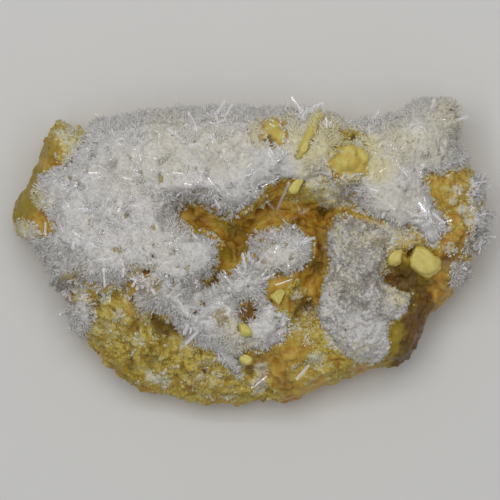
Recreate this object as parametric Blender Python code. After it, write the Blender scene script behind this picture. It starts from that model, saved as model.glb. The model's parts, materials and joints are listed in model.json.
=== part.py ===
"""Native sulfur specimen: a lump of amber sulfur under a white crust of needle crystals.

The lump lies on its flat back with its crystals up. +X runs along its length, +Z is up, and
the origin is the centre of its base. Lengths below are in millimetres; Blender's are in metres.

Every surface starts on one plan: a disc of points that inside the lump's outline are simply
seen from above, and beyond it run down the flank. The crusts lie on the same points, lifted
off along the growth direction, so each crust fits the lump under it with an even gap.
"""

import math
import random

import bmesh
import bpy
from mathutils import Matrix, Vector, geometry, noise
from mathutils.bvhtree import BVHTree

MM = 0.001
GAP = 0.35  # between two pieces that touch
CENTRE = Vector((1.1, 0.2, 0.0))  # middle of the finished specimen, which goes over the origin
GRID_STEP = 2.9  # between points on top of the lump
RIM_STEP = 3.9  # between points along the outline
RINGS = (0.93, 1.0, 1.1, 1.23, 1.36)  # share of the way out to the outline; the last is the base
SPINE = (-26.0, 30.0)  # ends of the line that "out" is measured from, and its y
SPINE_Y = 1.0
FLANK_REACH = RINGS[-1] - 1
BASE_SHARE = 0.82  # how far the flank draws in by the time it reaches the base
BASE_CURVE = 2.2  # power of that curve; more keeps the upper flank steeper
BULGE = 1.1  # unevenness of the flank
BULGE_SIZE = 6.0  # and the length of its features
TOP_LIFT = 3.0  # raises the whole relief
ROUGHNESS = 0.75  # height of the lump's fine unevenness
ROUGH_SIZE = 7.0  # and the length of its features
GROOVE_ROOM = 5.0  # distance inside the outline over which grooves and lumps fade in
PLAN_SEED = 3
PLAN_ROWS = 14  # rows of points on each side of the middle
PLAN_COLUMNS = 21
PLAN_JITTER = 0.6
PLAN_REACH = 0.9  # share of the way out that the grid of points fills
OUTLINE_CLEAR = 0.55 * GRID_STEP  # from a grid point to a crust's outline
RIM_CLEAR = 0.45 * GRID_STEP  # from a rim point to one, and between a crust outline's own points

# Outline of the sulfur lump from above, clockwise from its left end.
OUTLINE = (
    (-55.0, 8.5), (-54.0, 13.5), (-51.0, 18.5), (-49.5, 22.0), (-49.0, 24.5), (-47.0, 28.5),
    (-45.0, 31.0), (-43.0, 30.0), (-37.0, 28.0), (-31.5, 29.0), (-22.0, 30.5), (-8.5, 30.5),
    (4.5, 31.0), (15.0, 31.0), (19.5, 29.0), (25.0, 28.5), (31.0, 29.0), (35.0, 30.0),
    (38.0, 32.5), (41.5, 33.5), (45.5, 33.5), (47.0, 30.5), (47.0, 23.5), (50.0, 20.5),
    (52.0, 18.5), (53.5, 14.5), (54.5, 7.5), (53.0, 3.0), (50.0, -5.0), (45.5, -10.5),
    (41.0, -15.5), (38.5, -22.0), (37.0, -25.0), (34.5, -26.5), (28.5, -27.0), (24.5, -28.5),
    (19.5, -31.0), (16.0, -31.5), (11.5, -34.5), (8.0, -35.5), (3.0, -34.5), (-3.5, -36.0),
    (-6.5, -35.0), (-10.0, -36.0), (-18.5, -33.5), (-25.5, -33.0), (-30.5, -29.5),
    (-34.0, -26.5), (-36.5, -22.5), (-39.0, -19.0), (-42.0, -11.0), (-45.5, -3.5),
    (-48.5, 1.5), (-53.0, 3.5), (-54.5, 5.0),
)
# Round the edge: degrees, height of the rim, width of the rounded shoulder inside it.
RIM = (
    (0, 13, 7), (30, 14, 7), (60, 15, 6), (90, 15, 6), (125, 15, 6), (150, 12, 9), (175, 9, 12),
    (205, 10, 10), (235, 7, 19), (265, 7, 15), (290, 8, 13), (315, 9, 10), (340, 11, 8),
)
# Broad form of the top: x, y, height, reach.
HILLS = (
    (-52, 12, 15, 7), (-45, 27, 19, 6), (-44, 12, 22, 8), (-26, 15, 27, 11), (-34, 0, 25, 9),
    (-6, 20, 27, 10), (12, 24, 26, 9), (28, 21, 25, 9), (43, 28, 21, 7), (38, 12, 25, 8),
    (50, 10, 17, 6), (44, -2, 19, 7), (-18, -1, 26, 8), (-6, -12, 25, 7), (-9, -22, 20, 6),
    (6, 0, 24, 7), (4, -17, 22, 6), (24, 4, 22, 7), (24, -8, 22, 8), (26, -21, 18, 7),
    (38, -16, 15, 6), (-30, -20, 16, 9), (-18, -29, 12, 9), (8, -29, 14, 9), (10, 11, 20, 5),
)
# Grooves cut into it: depth, half-width, course.
GROOVES = (
    (8.0, 6.0, ((-17.0, 9.0), (-12.0, 9.0), (-6.5, 6.0), (-2.5, 4.0), (1.0, 6.0), (5.5, 9.0),
                (11.5, 11.0), (17.0, 11.5), (22.0, 12.5))),
    (6.0, 4.0, ((-2.5, 4.0), (-4.5, -1.5), (-6.0, -4.5), (-8.5, -6.5), (-12.0, -9.5))),
    (6.0, 3.5, ((17.0, 9.5), (16.5, 1.5), (16.5, -3.0), (13.5, -8.5), (12.5, -15.0))),
    (3.0, 3.5, ((-28.0, -9.5), (-32.0, -10.0), (-38.0, -9.5))),
    (4.0, 5.0, ((-22.0, -17.5), (-15.0, -20.5))),
    (5.0, 4.5, ((32.0, -5.0), (37.0, -6.5), (41.0, -9.5))),
    (2.5, 3.0, ((6.0, -25.0), (3.0, -32.0))),
)
# Lumps (and, with a minus, hollows): x, y, radius, height.
LUMPS = (
    (11.5, 14.0, 5.0, 4.0), (19.0, 14.0, 3.8, 4.0), (2.5, 12.0, 3.5, 2.5), (-5.0, -1.0, 2.8, 2.5),
    (22.8, 20.6, 6.0, 3.2), (5.6, 27.4, 3.6, -4.0), (23.5, 27.2, 3.8, -3.0), (-0.8, -13.6, 3.4, -5.0),
    (-46.0, 24.5, 4.0, 2.0), (-50.0, 9.0, 4.0, 1.5), (-30.0, -15.5, 4.0, 3.0), (-24.0, -23.0, 5.0, 2.0),
    (-14.0, -27.0, 4.5, 2.0), (9.5, -24.5, 5.0, 2.5), (16.0, -21.5, 4.0, 2.0), (10.0, -31.0, 4.0, 1.5),
    (13.0, -10.0, 3.0, 3.0), (48.0, 16.0, 4.0, 2.0), (50.0, 7.0, 4.0, 2.5), (34.5, -12.5, 4.0, 3.0),
)

LEAN_FROM = 5.0  # distance inside the outline where growth starts to lean outwards
LEAN_OVER = 8.0  # and the distance over which it turns level
RIM_CLIMB = 0.12  # rise of the growth direction on the flank
DRAPE = 1.15  # how far over the rim a crust may hang, as a share of the way out to the outline
TAPER = 4.0  # width over which a crust thins out to its edge
CRUST_EDGE = 1.3  # its thickness there
SWELLS = ((0.30, 9, 6.5, 7.0), (0.16, 3, 2.6, 2.0))  # a crust's lumps: share, level, size, seed
THINNEST = 0.45  # least share of the full thickness
# One crust of needles covers the upper half and reaches down the middle in two tongues.
NEEDLE_CRUST = (
    (-38.0, 33.5), (-12.0, 36.5), (11.5, 37.5), (31.0, 35.5), (42.0, 39.0), (49.0, 37.0),
    (52.0, 26.0), (50.5, 20.5), (46.0, 19.0), (39.5, 18.5), (40.5, 14.5), (43.0, 9.5),
    (46.0, 6.5), (42.0, 1.5), (38.5, 6.0), (34.0, 6.0), (29.0, 8.0), (24.5, 10.0),
    (22.0, 12.0), (20.0, 15.5), (16.5, 18.0), (11.5, 17.0), (6.5, 17.0), (2.0, 14.5),
    (0.0, 10.5), (-4.5, 7.5), (-8.0, 8.5), (-12.0, 11.5), (-17.0, 9.5), (-15.5, 6.0),
    (-9.5, 4.5), (-6.5, 2.0), (-8.0, -1.5), (-8.0, -3.0), (-10.5, -6.0), (-13.5, -10.5),
    (-10.0, -7.5), (-7.5, -5.0), (-3.0, -4.5), (-1.0, 1.5), (-0.5, 4.5), (2.5, 5.5),
    (6.5, 5.0), (8.0, 7.5), (10.0, 7.0), (12.0, 3.5), (14.5, 2.5), (14.5, -1.0),
    (13.0, -3.0), (7.5, -5.5), (4.5, -5.0), (3.0, -7.5), (3.5, -11.0), (5.5, -13.5),
    (8.5, -14.0), (9.0, -19.0), (6.5, -21.0), (2.5, -23.0), (-1.0, -22.5), (-3.0, -24.0),
    (-2.0, -29.5), (-5.0, -27.5), (-8.5, -23.0), (-14.0, -21.0), (-18.5, -17.0),
    (-20.0, -14.0), (-25.5, -13.0), (-28.0, -10.5), (-30.0, -8.0), (-32.5, -7.5),
    (-34.0, -11.0), (-35.5, -11.0), (-36.0, -8.0), (-39.5, -7.0), (-43.0, -8.5),
    (-49.0, -9.0), (-53.5, -5.0), (-54.5, -2.0), (-51.0, 1.5), (-50.0, 4.5), (-47.0, 4.0),
    (-45.0, 5.5), (-46.0, 7.5), (-49.5, 11.0), (-50.5, 13.5), (-49.5, 16.5), (-47.0, 19.0),
    (-43.5, 19.5), (-40.5, 23.5), (-38.0, 27.0),
)
# Windows in it where the sulfur shows.
WINDOWS = (
    ((3.5, 29.0), (6.0, 30.0), (8.0, 28.0), (7.5, 25.0), (4.5, 24.5), (3.0, 26.5)),
    ((21.0, 28.0), (23.5, 28.5), (26.0, 27.5), (26.0, 25.5), (23.0, 25.0), (21.0, 26.0)),
    ((18.0, 20.0), (20.0, 22.5), (24.0, 23.0), (27.0, 21.5), (27.0, 18.5), (23.5, 17.5), (20.5, 17.8)),
    ((-3.0, -11.5), (1.0, -11.5), (1.5, -15.5), (-1.0, -16.0), (-3.0, -14.5)),
)
FOOT_CRUST = (
    (-47.5, -13.0), (-42.5, -11.0), (-38.0, -11.5), (-36.5, -14.0), (-37.5, -17.0), (-39.5, -19.5),
    (-43.0, -22.5),
)
GREY_CRUST = (
    (18.0, 5.5), (19.5, 8.0), (22.0, 8.5), (26.0, 7.0), (30.0, 5.5), (32.5, 4.0), (31.0, 1.5),
    (30.5, -1.5), (29.5, -4.5), (31.5, -7.5), (37.0, -9.5), (36.0, -14.0), (32.0, -16.0),
    (31.5, -18.0), (32.0, -22.5), (30.0, -25.0), (27.0, -25.5), (23.0, -24.5), (20.0, -21.0),
    (16.5, -16.5), (15.5, -13.5), (17.0, -8.0), (17.5, -4.5), (18.5, -2.0), (17.5, 1.5),
)
RIGHT_TIP_CRUST = ((51.0, 17.0), (57.5, 19.0), (59.0, 12.5), (51.5, 12.0))
RIGHT_EDGE_CRUST = (
    (52.0, 9.0), (59.0, 10.5), (59.0, 0.5), (52.5, -0.5), (49.5, 0.5), (50.0, 3.5), (51.5, 4.5),
)
RIGHT_LOWER_CRUST = ((46.0, -2.5), (48.5, -2.0), (50.5, -3.0), (54.0, -6.5), (52.0, -9.5), (46.5, -7.0))

# Clear prisms that stand out: x, y of the foot, then heading and climb in degrees, length, radius.
TALL_PRISMS = (
    (12.6, 30.8, 128, 12, 5.0, 0.45), (12.0, 30.6, 44, 12, 5.0, 0.45), (11.0, 30.0, 60, 25, 3.5, 0.4),
    (9.5, 30.5, 108, 18, 3.5, 0.45), (18.3, 29.2, 95, 25, 4.0, 0.45), (21.0, 29.9, 150, 15, 5.0, 0.45),
    (27.0, 28.5, 55, 30, 3.5, 0.45), (-9.5, 30.0, 55, 20, 4.5, 0.45), (-6.5, 29.5, 62, 25, 4.0, 0.4),
    (-13.0, 29.0, 120, 35, 3.5, 0.45), (-15.0, 26.0, 140, 20, 5.0, 0.5), (-19.5, 6.5, 268, 38, 5.0, 0.55),
    (-1.0, -5.0, 97, 28, 5.5, 0.5), (0.5, -5.5, 85, 50, 4.0, 0.5), (-4.5, -6.8, 130, 30, 3.0, 0.45),
    (4.0, -3.5, 215, 20, 4.5, 0.4), (6.0, 2.5, 100, 45, 3.0, 0.5), (9.8, 4.5, 75, 35, 3.0, 0.4),
    (-15.0, -17.0, 245, 45, 3.5, 0.5), (-12.0, -18.5, 225, 25, 4.5, 0.45), (-8.5, -16.5, 40, 30, 4.5, 0.45),
    (42.0, 11.5, 285, 35, 4.0, 0.5), (43.0, 10.0, 320, 20, 4.0, 0.45), (-42.0, 10.0, 10, 18, 4.5, 0.4),
    (-40.0, 3.5, 330, 15, 5.5, 0.45), (-34.0, -1.5, 12, 18, 5.5, 0.45), (-35.0, -6.5, 75, 25, 4.5, 0.5),
    (-26.0, -6.5, 250, 50, 3.0, 0.5), (-23.5, -7.5, 300, 40, 3.0, 0.5), (-41.5, 5.0, 262, 35, 3.5, 0.45),
    (41.0, 32.0, 70, 30, 3.5, 0.45), (46.0, 30.0, 20, 25, 3.5, 0.45), (35.5, 22.5, 150, 40, 3.0, 0.5),
    (12.5, 3.0, 20, 25, 3.5, 0.4), (-9.5, 12.0, 300, 35, 3.5, 0.4), (-4.2, -25.6, 235, 20, 3.5, 0.4),
)
# The rest, as shares of the crust's thickness: range of length beyond it, and depth of the foot.
TALL_TURN = 0.3
CLIMB_STEP = 5  # degrees by which a tall prism is raised until it stays off the lump
PRISM_SIZE = (0.6, 1.1)  # length of the others, as a share of their crust's thickness
PRISM_SINK = 0.35  # depth of a prism's foot in its crust, as a share of the crust's thickness
PRISM_RADIUS = (0.40, 0.60)
PRISM_LEAN = 0.55
PRISM_TAPER = 0.94
PRISM_POINT = 0.9  # height of the blunt tip, in radii
PRISM_SIDES = 6
PRISM_TRIES = 60  # for each prism
PRISM_MARGIN = 1.0  # from a prism's foot to its crust's edge
PRISM_SPACING = 2.6
CRYSTAL_MARGIN = 3.6  # from a prism's foot to a sulfur crystal
CLEARED_SHARES = (0.0, 0.15, 0.3, 0.5, 0.75, 1.0)  # places along a prism that stay off the lump

# Sulfur crystals and loose prisms set into the surface.
EMBED = 0.9  # depth of a crystal's foot below the surface round it
CRYSTAL_LEVELS = ((0.62, 0.0), (1.0, 0.42), (0.72, 1.0))  # share of the outline, share of the height
LARGE_LEMON = ((36.0, 0.0), (37.5, 1.8), (39.5, 2.0), (41.5, 0.6), (44.0, -2.0), (43.8, -4.2),
               (41.5, -5.6), (39.5, -5.4), (36.6, -3.2))
SMALL_LEMON = ((31.0, -1.2), (33.4, 0.7), (35.1, 1.0), (34.6, -2.4), (33.6, -3.0), (31.9, -2.7))
# The thin blade, from its inner end out over the rim: x, y, height of its edge, half-width.
BLADE = (
    (10.6, 21.6, 31.5, 0.5), (12.3, 24.2, 33.2, 1.0), (13.8, 27.6, 31.8, 1.2), (15.1, 30.8, 27.5, 1.0),
    (16.4, 33.6, 24.5, 0.4),
)
BLADE_DEPTH = 6.5
BLADE_WAIST = 0.55 * BLADE_DEPTH  # depth of its thickest level
BLADE_POCKET = 1.5 * GAP
HOOK = ((8.6, 13.6), (10.4, 13.4), (12.4, 16.6), (11.2, 17.4), (9.4, 15.8))
UPPER_CRYSTAL = ((4.4, -11.6), (6.4, -12.0), (8.0, -10.2), (7.9, -8.6), (6.2, -8.8), (4.8, -10.0))
MIDDLE_CRYSTAL = ((-3.1, -16.3), (-3.2, -18.0), (-1.2, -19.6), (0.0, -19.8), (0.0, -18.2), (-1.6, -16.5))
LOWER_CRYSTAL = ((-2.9, -25.0), (-1.8, -25.9), (-0.2, -25.5), (0.1, -24.6), (-1.0, -23.6), (-2.2, -23.9))
SET_CRYSTALS = (
    LARGE_LEMON, SMALL_LEMON, HOOK, UPPER_CRYSTAL, MIDDLE_CRYSTAL, LOWER_CRYSTAL,
    tuple(station[:2] for station in BLADE),
)

# Crusts: name, outline, windows, thickness, look, number of prisms, seed, tall prisms.
CRUSTS = (
    ("needle_crust", NEEDLE_CRUST, WINDOWS, 3.4, "white needle crust", 44, 11, TALL_PRISMS),
    ("foot_crust", FOOT_CRUST, (), 2.6, "white needle crust", 5, 5, ()),
    ("grey_crust", GREY_CRUST, (), 2.3, "grey granular crust", 6, 9, ()),
    ("right_tip_crust", RIGHT_TIP_CRUST, (), 1.8, "white needle crust", 2, 2, ()),
    ("right_edge_crust", RIGHT_EDGE_CRUST, (), 2.4, "white needle crust", 4, 4, ()),
    ("right_lower_crust", RIGHT_LOWER_CRUST, (), 1.8, "white needle crust", 2, 8, ()),
)
# Sulfur crystals: name, outline, height, tilt along x and y.
CRYSTALS = (
    ("large_lemon_crystal", LARGE_LEMON, 3.4, (0.10, 0.12)),
    ("small_lemon_crystal", SMALL_LEMON, 3.2, (-0.10, 0.16)),
    ("sulfur_hook", HOOK, 5.0, (0.0, 0.1)),
    ("upper_sulfur_crystal", UPPER_CRYSTAL, 3.6, (0.1, -0.1)),
    ("middle_sulfur_crystal", MIDDLE_CRYSTAL, 4.2, (-0.1, 0.1)),
    ("lower_sulfur_crystal", LOWER_CRYSTAL, 3.6, (0.1, 0.1)),
)
# Loose prisms: name, foot, tip, height of each over the lump, radius.
LOOSE_PRISMS = (
    ("cavity_prism", (6.0, 9.8), (8.8, 16.2), 0.2, 3.4, 0.42),
    ("cavity_side_prism", (5.4, 10.0), (3.6, 11.8), 0.3, 1.4, 0.36),
    ("lower_prism", (10.6, -29.4), (13.6, -26.0), 0.35, 1.4, 0.42),
)
BED_LENGTH = 2.4  # growth of a loose prism's bed at its ends and sides, in gaps
BED_WIDTH = 1.15
# Looks: name, colour, roughness.
LOOKS = (
    ("amber sulfur", (0.42, 0.24, 0.04), 0.35),
    ("lemon sulfur", (0.62, 0.52, 0.10), 0.3),
    ("white needle crust", (0.72, 0.70, 0.68), 0.4),
    ("grey granular crust", (0.46, 0.44, 0.40), 0.6),
    ("clear prisms", (0.80, 0.80, 0.84), 0.1),
)


def smooth(value):
    """0 below 0, 1 above 1, and an even S between them."""
    held = min(max(value, 0.0), 1.0)
    return held * held * (3 - 2 * held)


def dome(distance, radius):
    """1 at no distance, falling smoothly to 0 at the radius."""
    share = min(distance / radius, 1.0)
    return (1 - share * share) ** 2


def rough(x, y, z, size, seed=0.0):
    """Fractal unevenness, about -1 to 1, with features of the given size."""
    where = Vector((x / size + seed, y / size - seed, z / size + 0.5 * seed))
    return noise.fractal(where, 1.0, 2.1, 3) * 1.4


def distance_to_line(point, line):
    """How far a point is from a run of straight stretches."""
    nearest = math.inf
    for start, end in zip(line, line[1:]):
        along = (end[0] - start[0], end[1] - start[1])
        reach = (point[0] - start[0], point[1] - start[1])
        share = (reach[0] * along[0] + reach[1] * along[1]) / (along[0] ** 2 + along[1] ** 2)
        share = min(max(share, 0.0), 1.0)
        nearest = min(nearest, math.hypot(reach[0] - share * along[0], reach[1] - share * along[1]))
    return nearest


def closed(loop):
    return (*loop, loop[0])


def inside(point, loop):
    """Whether a point lies inside a closed outline."""
    crossings = 0
    for (ax, ay), (bx, by) in zip(loop, closed(loop)[1:]):
        if (ay > point[1]) != (by > point[1]):
            crossings += point[0] < ax + (bx - ax) * (point[1] - ay) / (by - ay)
    return crossings % 2 == 1


def walked(loop, step):
    """The closed outline again, with points added so that no side is longer than the step."""
    points = []
    for start, end in zip(loop, closed(loop)[1:]):
        pieces = max(1, math.ceil(math.dist(start, end) / step))
        points += [
            (start[0] + (end[0] - start[0]) * i / pieces, start[1] + (end[1] - start[1]) * i / pieces)
            for i in range(pieces)
        ]
    return points


def bearing(point):
    """The nearest place on the spine, the direction out from it, and the distance."""
    root = Vector((min(max(point[0], SPINE[0]), SPINE[1]), SPINE_Y))
    out = Vector(point) - root
    return root, (out.normalized() if out.length > 1e-6 else Vector((0, 1))), out.length


def edge_distance(root, way):
    """Distance from a place on the spine to the lump's outline in one direction."""
    farthest = 0.0
    for start, end in zip(OUTLINE, closed(OUTLINE)[1:]):
        a = Vector(start) - root
        b = Vector(end) - root
        side_a = way.cross(a)
        side_b = way.cross(b)
        if (side_a > 0) != (side_b > 0):
            farthest = max(farthest, way.dot(a + (b - a) * (side_a / (side_a - side_b))))
    return farthest


def spread(point, share):
    """The plan point at this share of the way from the spine to an outline point."""
    root, way, distance = bearing(point)
    return tuple(root + way * distance * share)


def round_the_rim(point):
    """Rim height and shoulder width in a point's direction, blended between the RIM entries."""
    degrees = math.degrees(math.atan2(point[1], point[0])) % 360
    for before, after in zip(RIM, (*RIM[1:], (RIM[0][0] + 360, *RIM[0][1:]))):
        if before[0] <= degrees <= after[0]:
            share = smooth((degrees - before[0]) / (after[0] - before[0]))
            return tuple(a + (b - a) * share for a, b in zip(before[1:], after[1:]))
    raise ValueError("the rim has no entry at this angle")


def hill_height(x, y):
    total = weights = 0.0
    for hill_x, hill_y, height, reach in HILLS:
        weight = math.exp(-((x - hill_x) ** 2 + (y - hill_y) ** 2) / (2 * reach * reach)) + 1e-9
        total += weight * height
        weights += weight
    return total / weights + TOP_LIFT


def top_height(x, y, inset):
    """Height of the lump above a point that lies the given distance inside the outline."""
    rim, shoulder = round_the_rim((x, y))
    share = min(inset / shoulder, 1.0)
    height = rim + (hill_height(x, y) - rim) * math.sqrt(1 - (1 - share) ** 2)
    room = smooth(inset / GROOVE_ROOM)
    for depth, half_width, course in GROOVES:
        height -= depth * room * dome(distance_to_line((x, y), course), half_width)
    for lump_x, lump_y, radius, rise in LUMPS:
        height += rise * room * dome(math.hypot(x - lump_x, y - lump_y), radius)
    return height + ROUGHNESS * rough(x, y, 0, ROUGH_SIZE)


def on_lump(point):
    """Where a point of the plan lies on the sulfur lump."""
    root, way, distance = bearing(point)
    edge = edge_distance(root, way)
    if distance <= edge:
        return Vector((*point, top_height(*point, edge - distance)))
    rim = root + way * edge
    drop = min((distance / edge - 1) / FLANK_REACH, 1.0)
    height = top_height(*rim, 0.0) * (1 - drop)
    bulge = BULGE * rough(*rim, height, BULGE_SIZE, 4.0) * math.sin(math.pi * drop)
    out = edge * (1 - (1 - BASE_SHARE) * drop**BASE_CURVE) + bulge
    return Vector((*(root + way * out), height))


def growth(point):
    """Direction in which crystals grow there: up on top, outwards over the rim."""
    root, way, distance = bearing(point)
    lean = smooth((LEAN_FROM - edge_distance(root, way) + distance) / LEAN_OVER)
    return (Vector((0, 0, 1 - lean)) + Vector((*way, RIM_CLIMB)) * lean).normalized()


def held_on(loop):
    """A crust's outline, pulled in where it would hang too far down the flank."""
    points = []
    for point in walked(loop, GRID_STEP):
        root, way, distance = bearing(point)
        points.append(tuple(root + way * min(distance, DRAPE * edge_distance(root, way))))
    kept = [points[0]]
    for point in points[1:]:
        if math.dist(point, kept[-1]) > RIM_CLEAR:
            kept.append(point)
    return kept


def plan_points(loops):
    """A staggered grid of points on the plan, clear of the loops, and the rings round the rim."""
    chance = random.Random(PLAN_SEED)
    points = []
    pitch = GRID_STEP * math.sqrt(0.75)
    for row in range(-PLAN_ROWS, PLAN_ROWS + 1):
        for column in range(-PLAN_COLUMNS, PLAN_COLUMNS + 1):
            x = (column + 0.5 * (row % 2)) * GRID_STEP + chance.uniform(-PLAN_JITTER, PLAN_JITTER)
            y = row * pitch + chance.uniform(-PLAN_JITTER, PLAN_JITTER)
            root, way, distance = bearing((x, y))
            if distance > PLAN_REACH * edge_distance(root, way):
                continue
            if all(distance_to_line((x, y), closed(loop)) >= OUTLINE_CLEAR for loop in loops):
                points.append((x, y))
    rim = walked(OUTLINE, RIM_STEP)
    for share in RINGS[:-1]:
        for point in rim:
            spot = spread(point, share)
            if all(distance_to_line(spot, closed(loop)) > RIM_CLEAR for loop in loops):
                points.append(spot)
    return points, [spread(point, RINGS[-1]) for point in rim]


def triangulated(loops):
    """Points and triangles of the plan; every loop's sides are sides of triangles."""
    points, base = plan_points(loops)
    corners = [Vector(point) for point in points]
    sides = []
    for loop in [*loops, base]:
        first = len(corners)
        corners += [Vector(point) for point in loop]
        sides += [(first + i, first + (i + 1) % len(loop)) for i in range(len(loop))]
    spots, _, faces, *_ = geometry.delaunay_2d_cdt(corners, sides, [], 1, 1e-4)
    triangles = []
    for face in faces:
        for i in range(1, len(face) - 1):
            a, b, c = face[0], face[i], face[i + 1]
            turn = (spots[b] - spots[a]).cross(spots[c] - spots[a])
            triangles.append((a, b, c) if turn > 0 else (a, c, b))
    return [tuple(spot) for spot in spots], triangles


def open_sides(triangles):
    """Sides that only one triangle has, in that triangle's direction."""
    sides = {side for a, b, c in triangles for side in ((a, b), (b, c), (c, a))}
    return [side for side in sides if side[::-1] not in sides]


def add_object(name, vertices, faces, material):
    """An object from corner points in millimetres."""
    mesh = bpy.data.meshes.new(name)
    mesh.from_pydata([Vector(vertex) * MM for vertex in vertices], [], faces)
    mesh.validate()
    mesh.materials.append(material)
    made = bpy.data.objects.new(name, mesh)
    made.location = -CENTRE * MM
    bpy.context.scene.collection.objects.link(made)
    return made


def material(name, colour, roughness):
    made = bpy.data.materials.new(name)
    made.use_nodes = True
    shader = made.node_tree.nodes["Principled BSDF"]
    shader.inputs["Base Color"].default_value = (*colour, 1)
    shader.inputs["Roughness"].default_value = roughness
    shader.inputs["Metallic"].default_value = 0
    return made


def make_lump(spots, triangles, amber):
    """The sulfur lump: the whole plan in place, closed by one flat face underneath."""
    places = [on_lump(spot) for spot in spots]
    after = dict(open_sides(triangles))
    start = next(iter(after))
    rim = [start]
    while after[rim[-1]] != start:
        rim.append(after[rim[-1]])
    for corner in rim:
        places[corner].z = 0.0
    return add_object("sulfur_lump", places, [*triangles, tuple(reversed(rim))], amber)


def crust_thickness(point, edges, full, edge):
    """Thin at the edges, full inside them, and lumpy all over."""
    distance = min(distance_to_line(point, closed(loop)) for loop in edges)
    swell = 1 + sum(share * rough(*point, *form) for share, *form in SWELLS)
    return (edge + (full - edge) * math.sqrt(smooth(distance / TAPER))) * max(swell, THINNEST)


def make_crust(name, spots, triangles, edges, thickness, white):
    """A crust over the triangles inside its outline and outside its windows."""
    outer, *windows = edges
    covered = []
    for a, b, c in triangles:
        centre = tuple((spots[a][i] + spots[b][i] + spots[c][i]) / 3 for i in (0, 1))
        if inside(centre, outer) and not any(inside(centre, window) for window in windows):
            covered.append((a, b, c))
    used = sorted({corner for triangle in covered for corner in triangle})
    order = {corner: i for i, corner in enumerate(used)}
    under = []
    over = []
    for corner in used:
        spot = spots[corner]
        foot = on_lump(spot) + growth(spot) * GAP
        under.append(foot)
        over.append(foot + growth(spot) * crust_thickness(spot, edges, thickness, CRUST_EDGE))
    count = len(used)
    faces = []
    for triangle in covered:
        a, b, c = (order[corner] for corner in triangle)
        faces.append((count + a, count + b, count + c))
        faces.append((c, b, a))
    for start, end in open_sides(covered):
        a = order[start]
        b = order[end]
        faces.append((a, b, count + b, count + a))
    return add_object(name, under + over, faces, white)


def surface_of(piece):
    """A tree for finding places on a piece's surface, in metres."""
    return BVHTree.FromPolygons(
        [corner.co for corner in piece.data.vertices],
        [tuple(face.vertices) for face in piece.data.polygons],
    )


def prism_foot(point, surface, thickness):
    """A place just inside the crust, and the direction of growth there."""
    up = growth(point)
    place, facing, *_ = surface.find_nearest((on_lump(point) + up * (GAP + thickness)) * MM)
    return place / MM - facing * PRISM_SINK * thickness, up


def add_prism(mesh, foot, direction, length, radius, twist):
    """A six-sided prism with a blunt pointed tip, from its foot along a direction."""
    direction = direction.normalized()
    turn = direction.to_track_quat("Z", "Y").to_matrix().to_4x4() @ Matrix.Rotation(twist, 4, "Z")
    tip = PRISM_POINT * radius
    shape = bmesh.ops.create_cone(
        mesh,
        segments=PRISM_SIDES,
        radius1=radius * MM,
        radius2=PRISM_TAPER * radius * MM,
        depth=(length - tip) * MM,
        cap_ends=True,
        matrix=Matrix.Translation((foot + direction * (length - tip) / 2) * MM) @ turn,
    )
    end = foot + direction * (length - tip)
    faces = {face for corner in shape["verts"] for face in corner.link_faces}
    ends = [face for face in faces if len(face.verts) == PRISM_SIDES]
    cap = max(ends, key=lambda face: face.calc_center_median().dot(direction))
    point = bmesh.ops.poke(mesh, faces=[cap])["verts"][0]
    point.co = (end + direction * tip) * MM


def clears(ground, foot, direction, length, radius):
    """Whether a prism stays off the lump all along."""
    for share in CLEARED_SHARES:
        place = foot + direction * length * share
        nearest, facing, *_ = ground.find_nearest(place * MM)
        away = place - nearest / MM
        if away.dot(facing) < 0 or away.length < radius + GAP:
            return False
    return True


def heading_to(heading, climb):
    """The direction with this heading and climb, both in degrees."""
    flat = math.cos(math.radians(climb))
    turned = math.radians(heading)
    return Vector((flat * math.cos(turned), flat * math.sin(turned), math.sin(math.radians(climb))))


def make_prisms(crust, edges, thickness, count, seed, tall, ground):
    """The clear prisms of one crust, clear of the sulfur crystals, as a helper to join to it."""
    chance = random.Random(seed)
    surface = surface_of(crust)
    sink = PRISM_SINK * thickness
    mesh = bmesh.new()
    feet = []
    for x, y, heading, climb, length, radius in tall:
        foot, _ = prism_foot((x, y), surface, thickness)
        ways = [heading_to(heading, angle) for angle in range(climb, 90, CLIMB_STEP)]
        free = [way for way in ways if clears(ground, foot, way, length + sink, radius)]
        if free:
            add_prism(mesh, foot, free[0], length + sink, radius, TALL_TURN)
        feet.append((x, y))
    outer, *windows = edges
    low = [min(point[i] for point in outer) for i in (0, 1)]
    high = [max(point[i] for point in outer) for i in (0, 1)]
    for _ in range(PRISM_TRIES * count):
        if len(feet) == count + len(tall):
            break
        spot = (chance.uniform(low[0], high[0]), chance.uniform(low[1], high[1]))
        covered = inside(spot, outer) and not any(inside(spot, window) for window in windows)
        clear = all(distance_to_line(spot, closed(loop)) > PRISM_MARGIN for loop in edges)
        apart = all(math.dist(spot, foot) > PRISM_SPACING for foot in feet)
        free = all(distance_to_line(spot, closed(piece)) > CRYSTAL_MARGIN for piece in SET_CRYSTALS)
        if not (covered and clear and apart and free):
            continue
        foot, up = prism_foot(spot, surface, thickness)
        lean = Vector([chance.gauss(0, PRISM_LEAN) for _ in range(3)])
        direction = (up + lean - up * lean.dot(up)).normalized()
        length = sink + thickness * chance.uniform(*PRISM_SIZE)
        radius = chance.uniform(*PRISM_RADIUS)
        if clears(ground, foot, direction, length, radius):
            add_prism(mesh, foot, direction, length, radius, chance.uniform(0, 1))
            feet.append(spot)
    return helper_from(mesh, crust.name + "_prisms")


def helper_from(mesh, name):
    """A helper object, which shapes others and isn't a piece itself."""
    data = bpy.data.meshes.new(name)
    mesh.to_mesh(data)
    mesh.free()
    helper = bpy.data.objects.new(name, data)
    helper.location = -CENTRE * MM
    bpy.context.scene.collection.objects.link(helper)
    helper.hide_render = True
    helper.display_type = "WIRE"
    return helper


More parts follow.
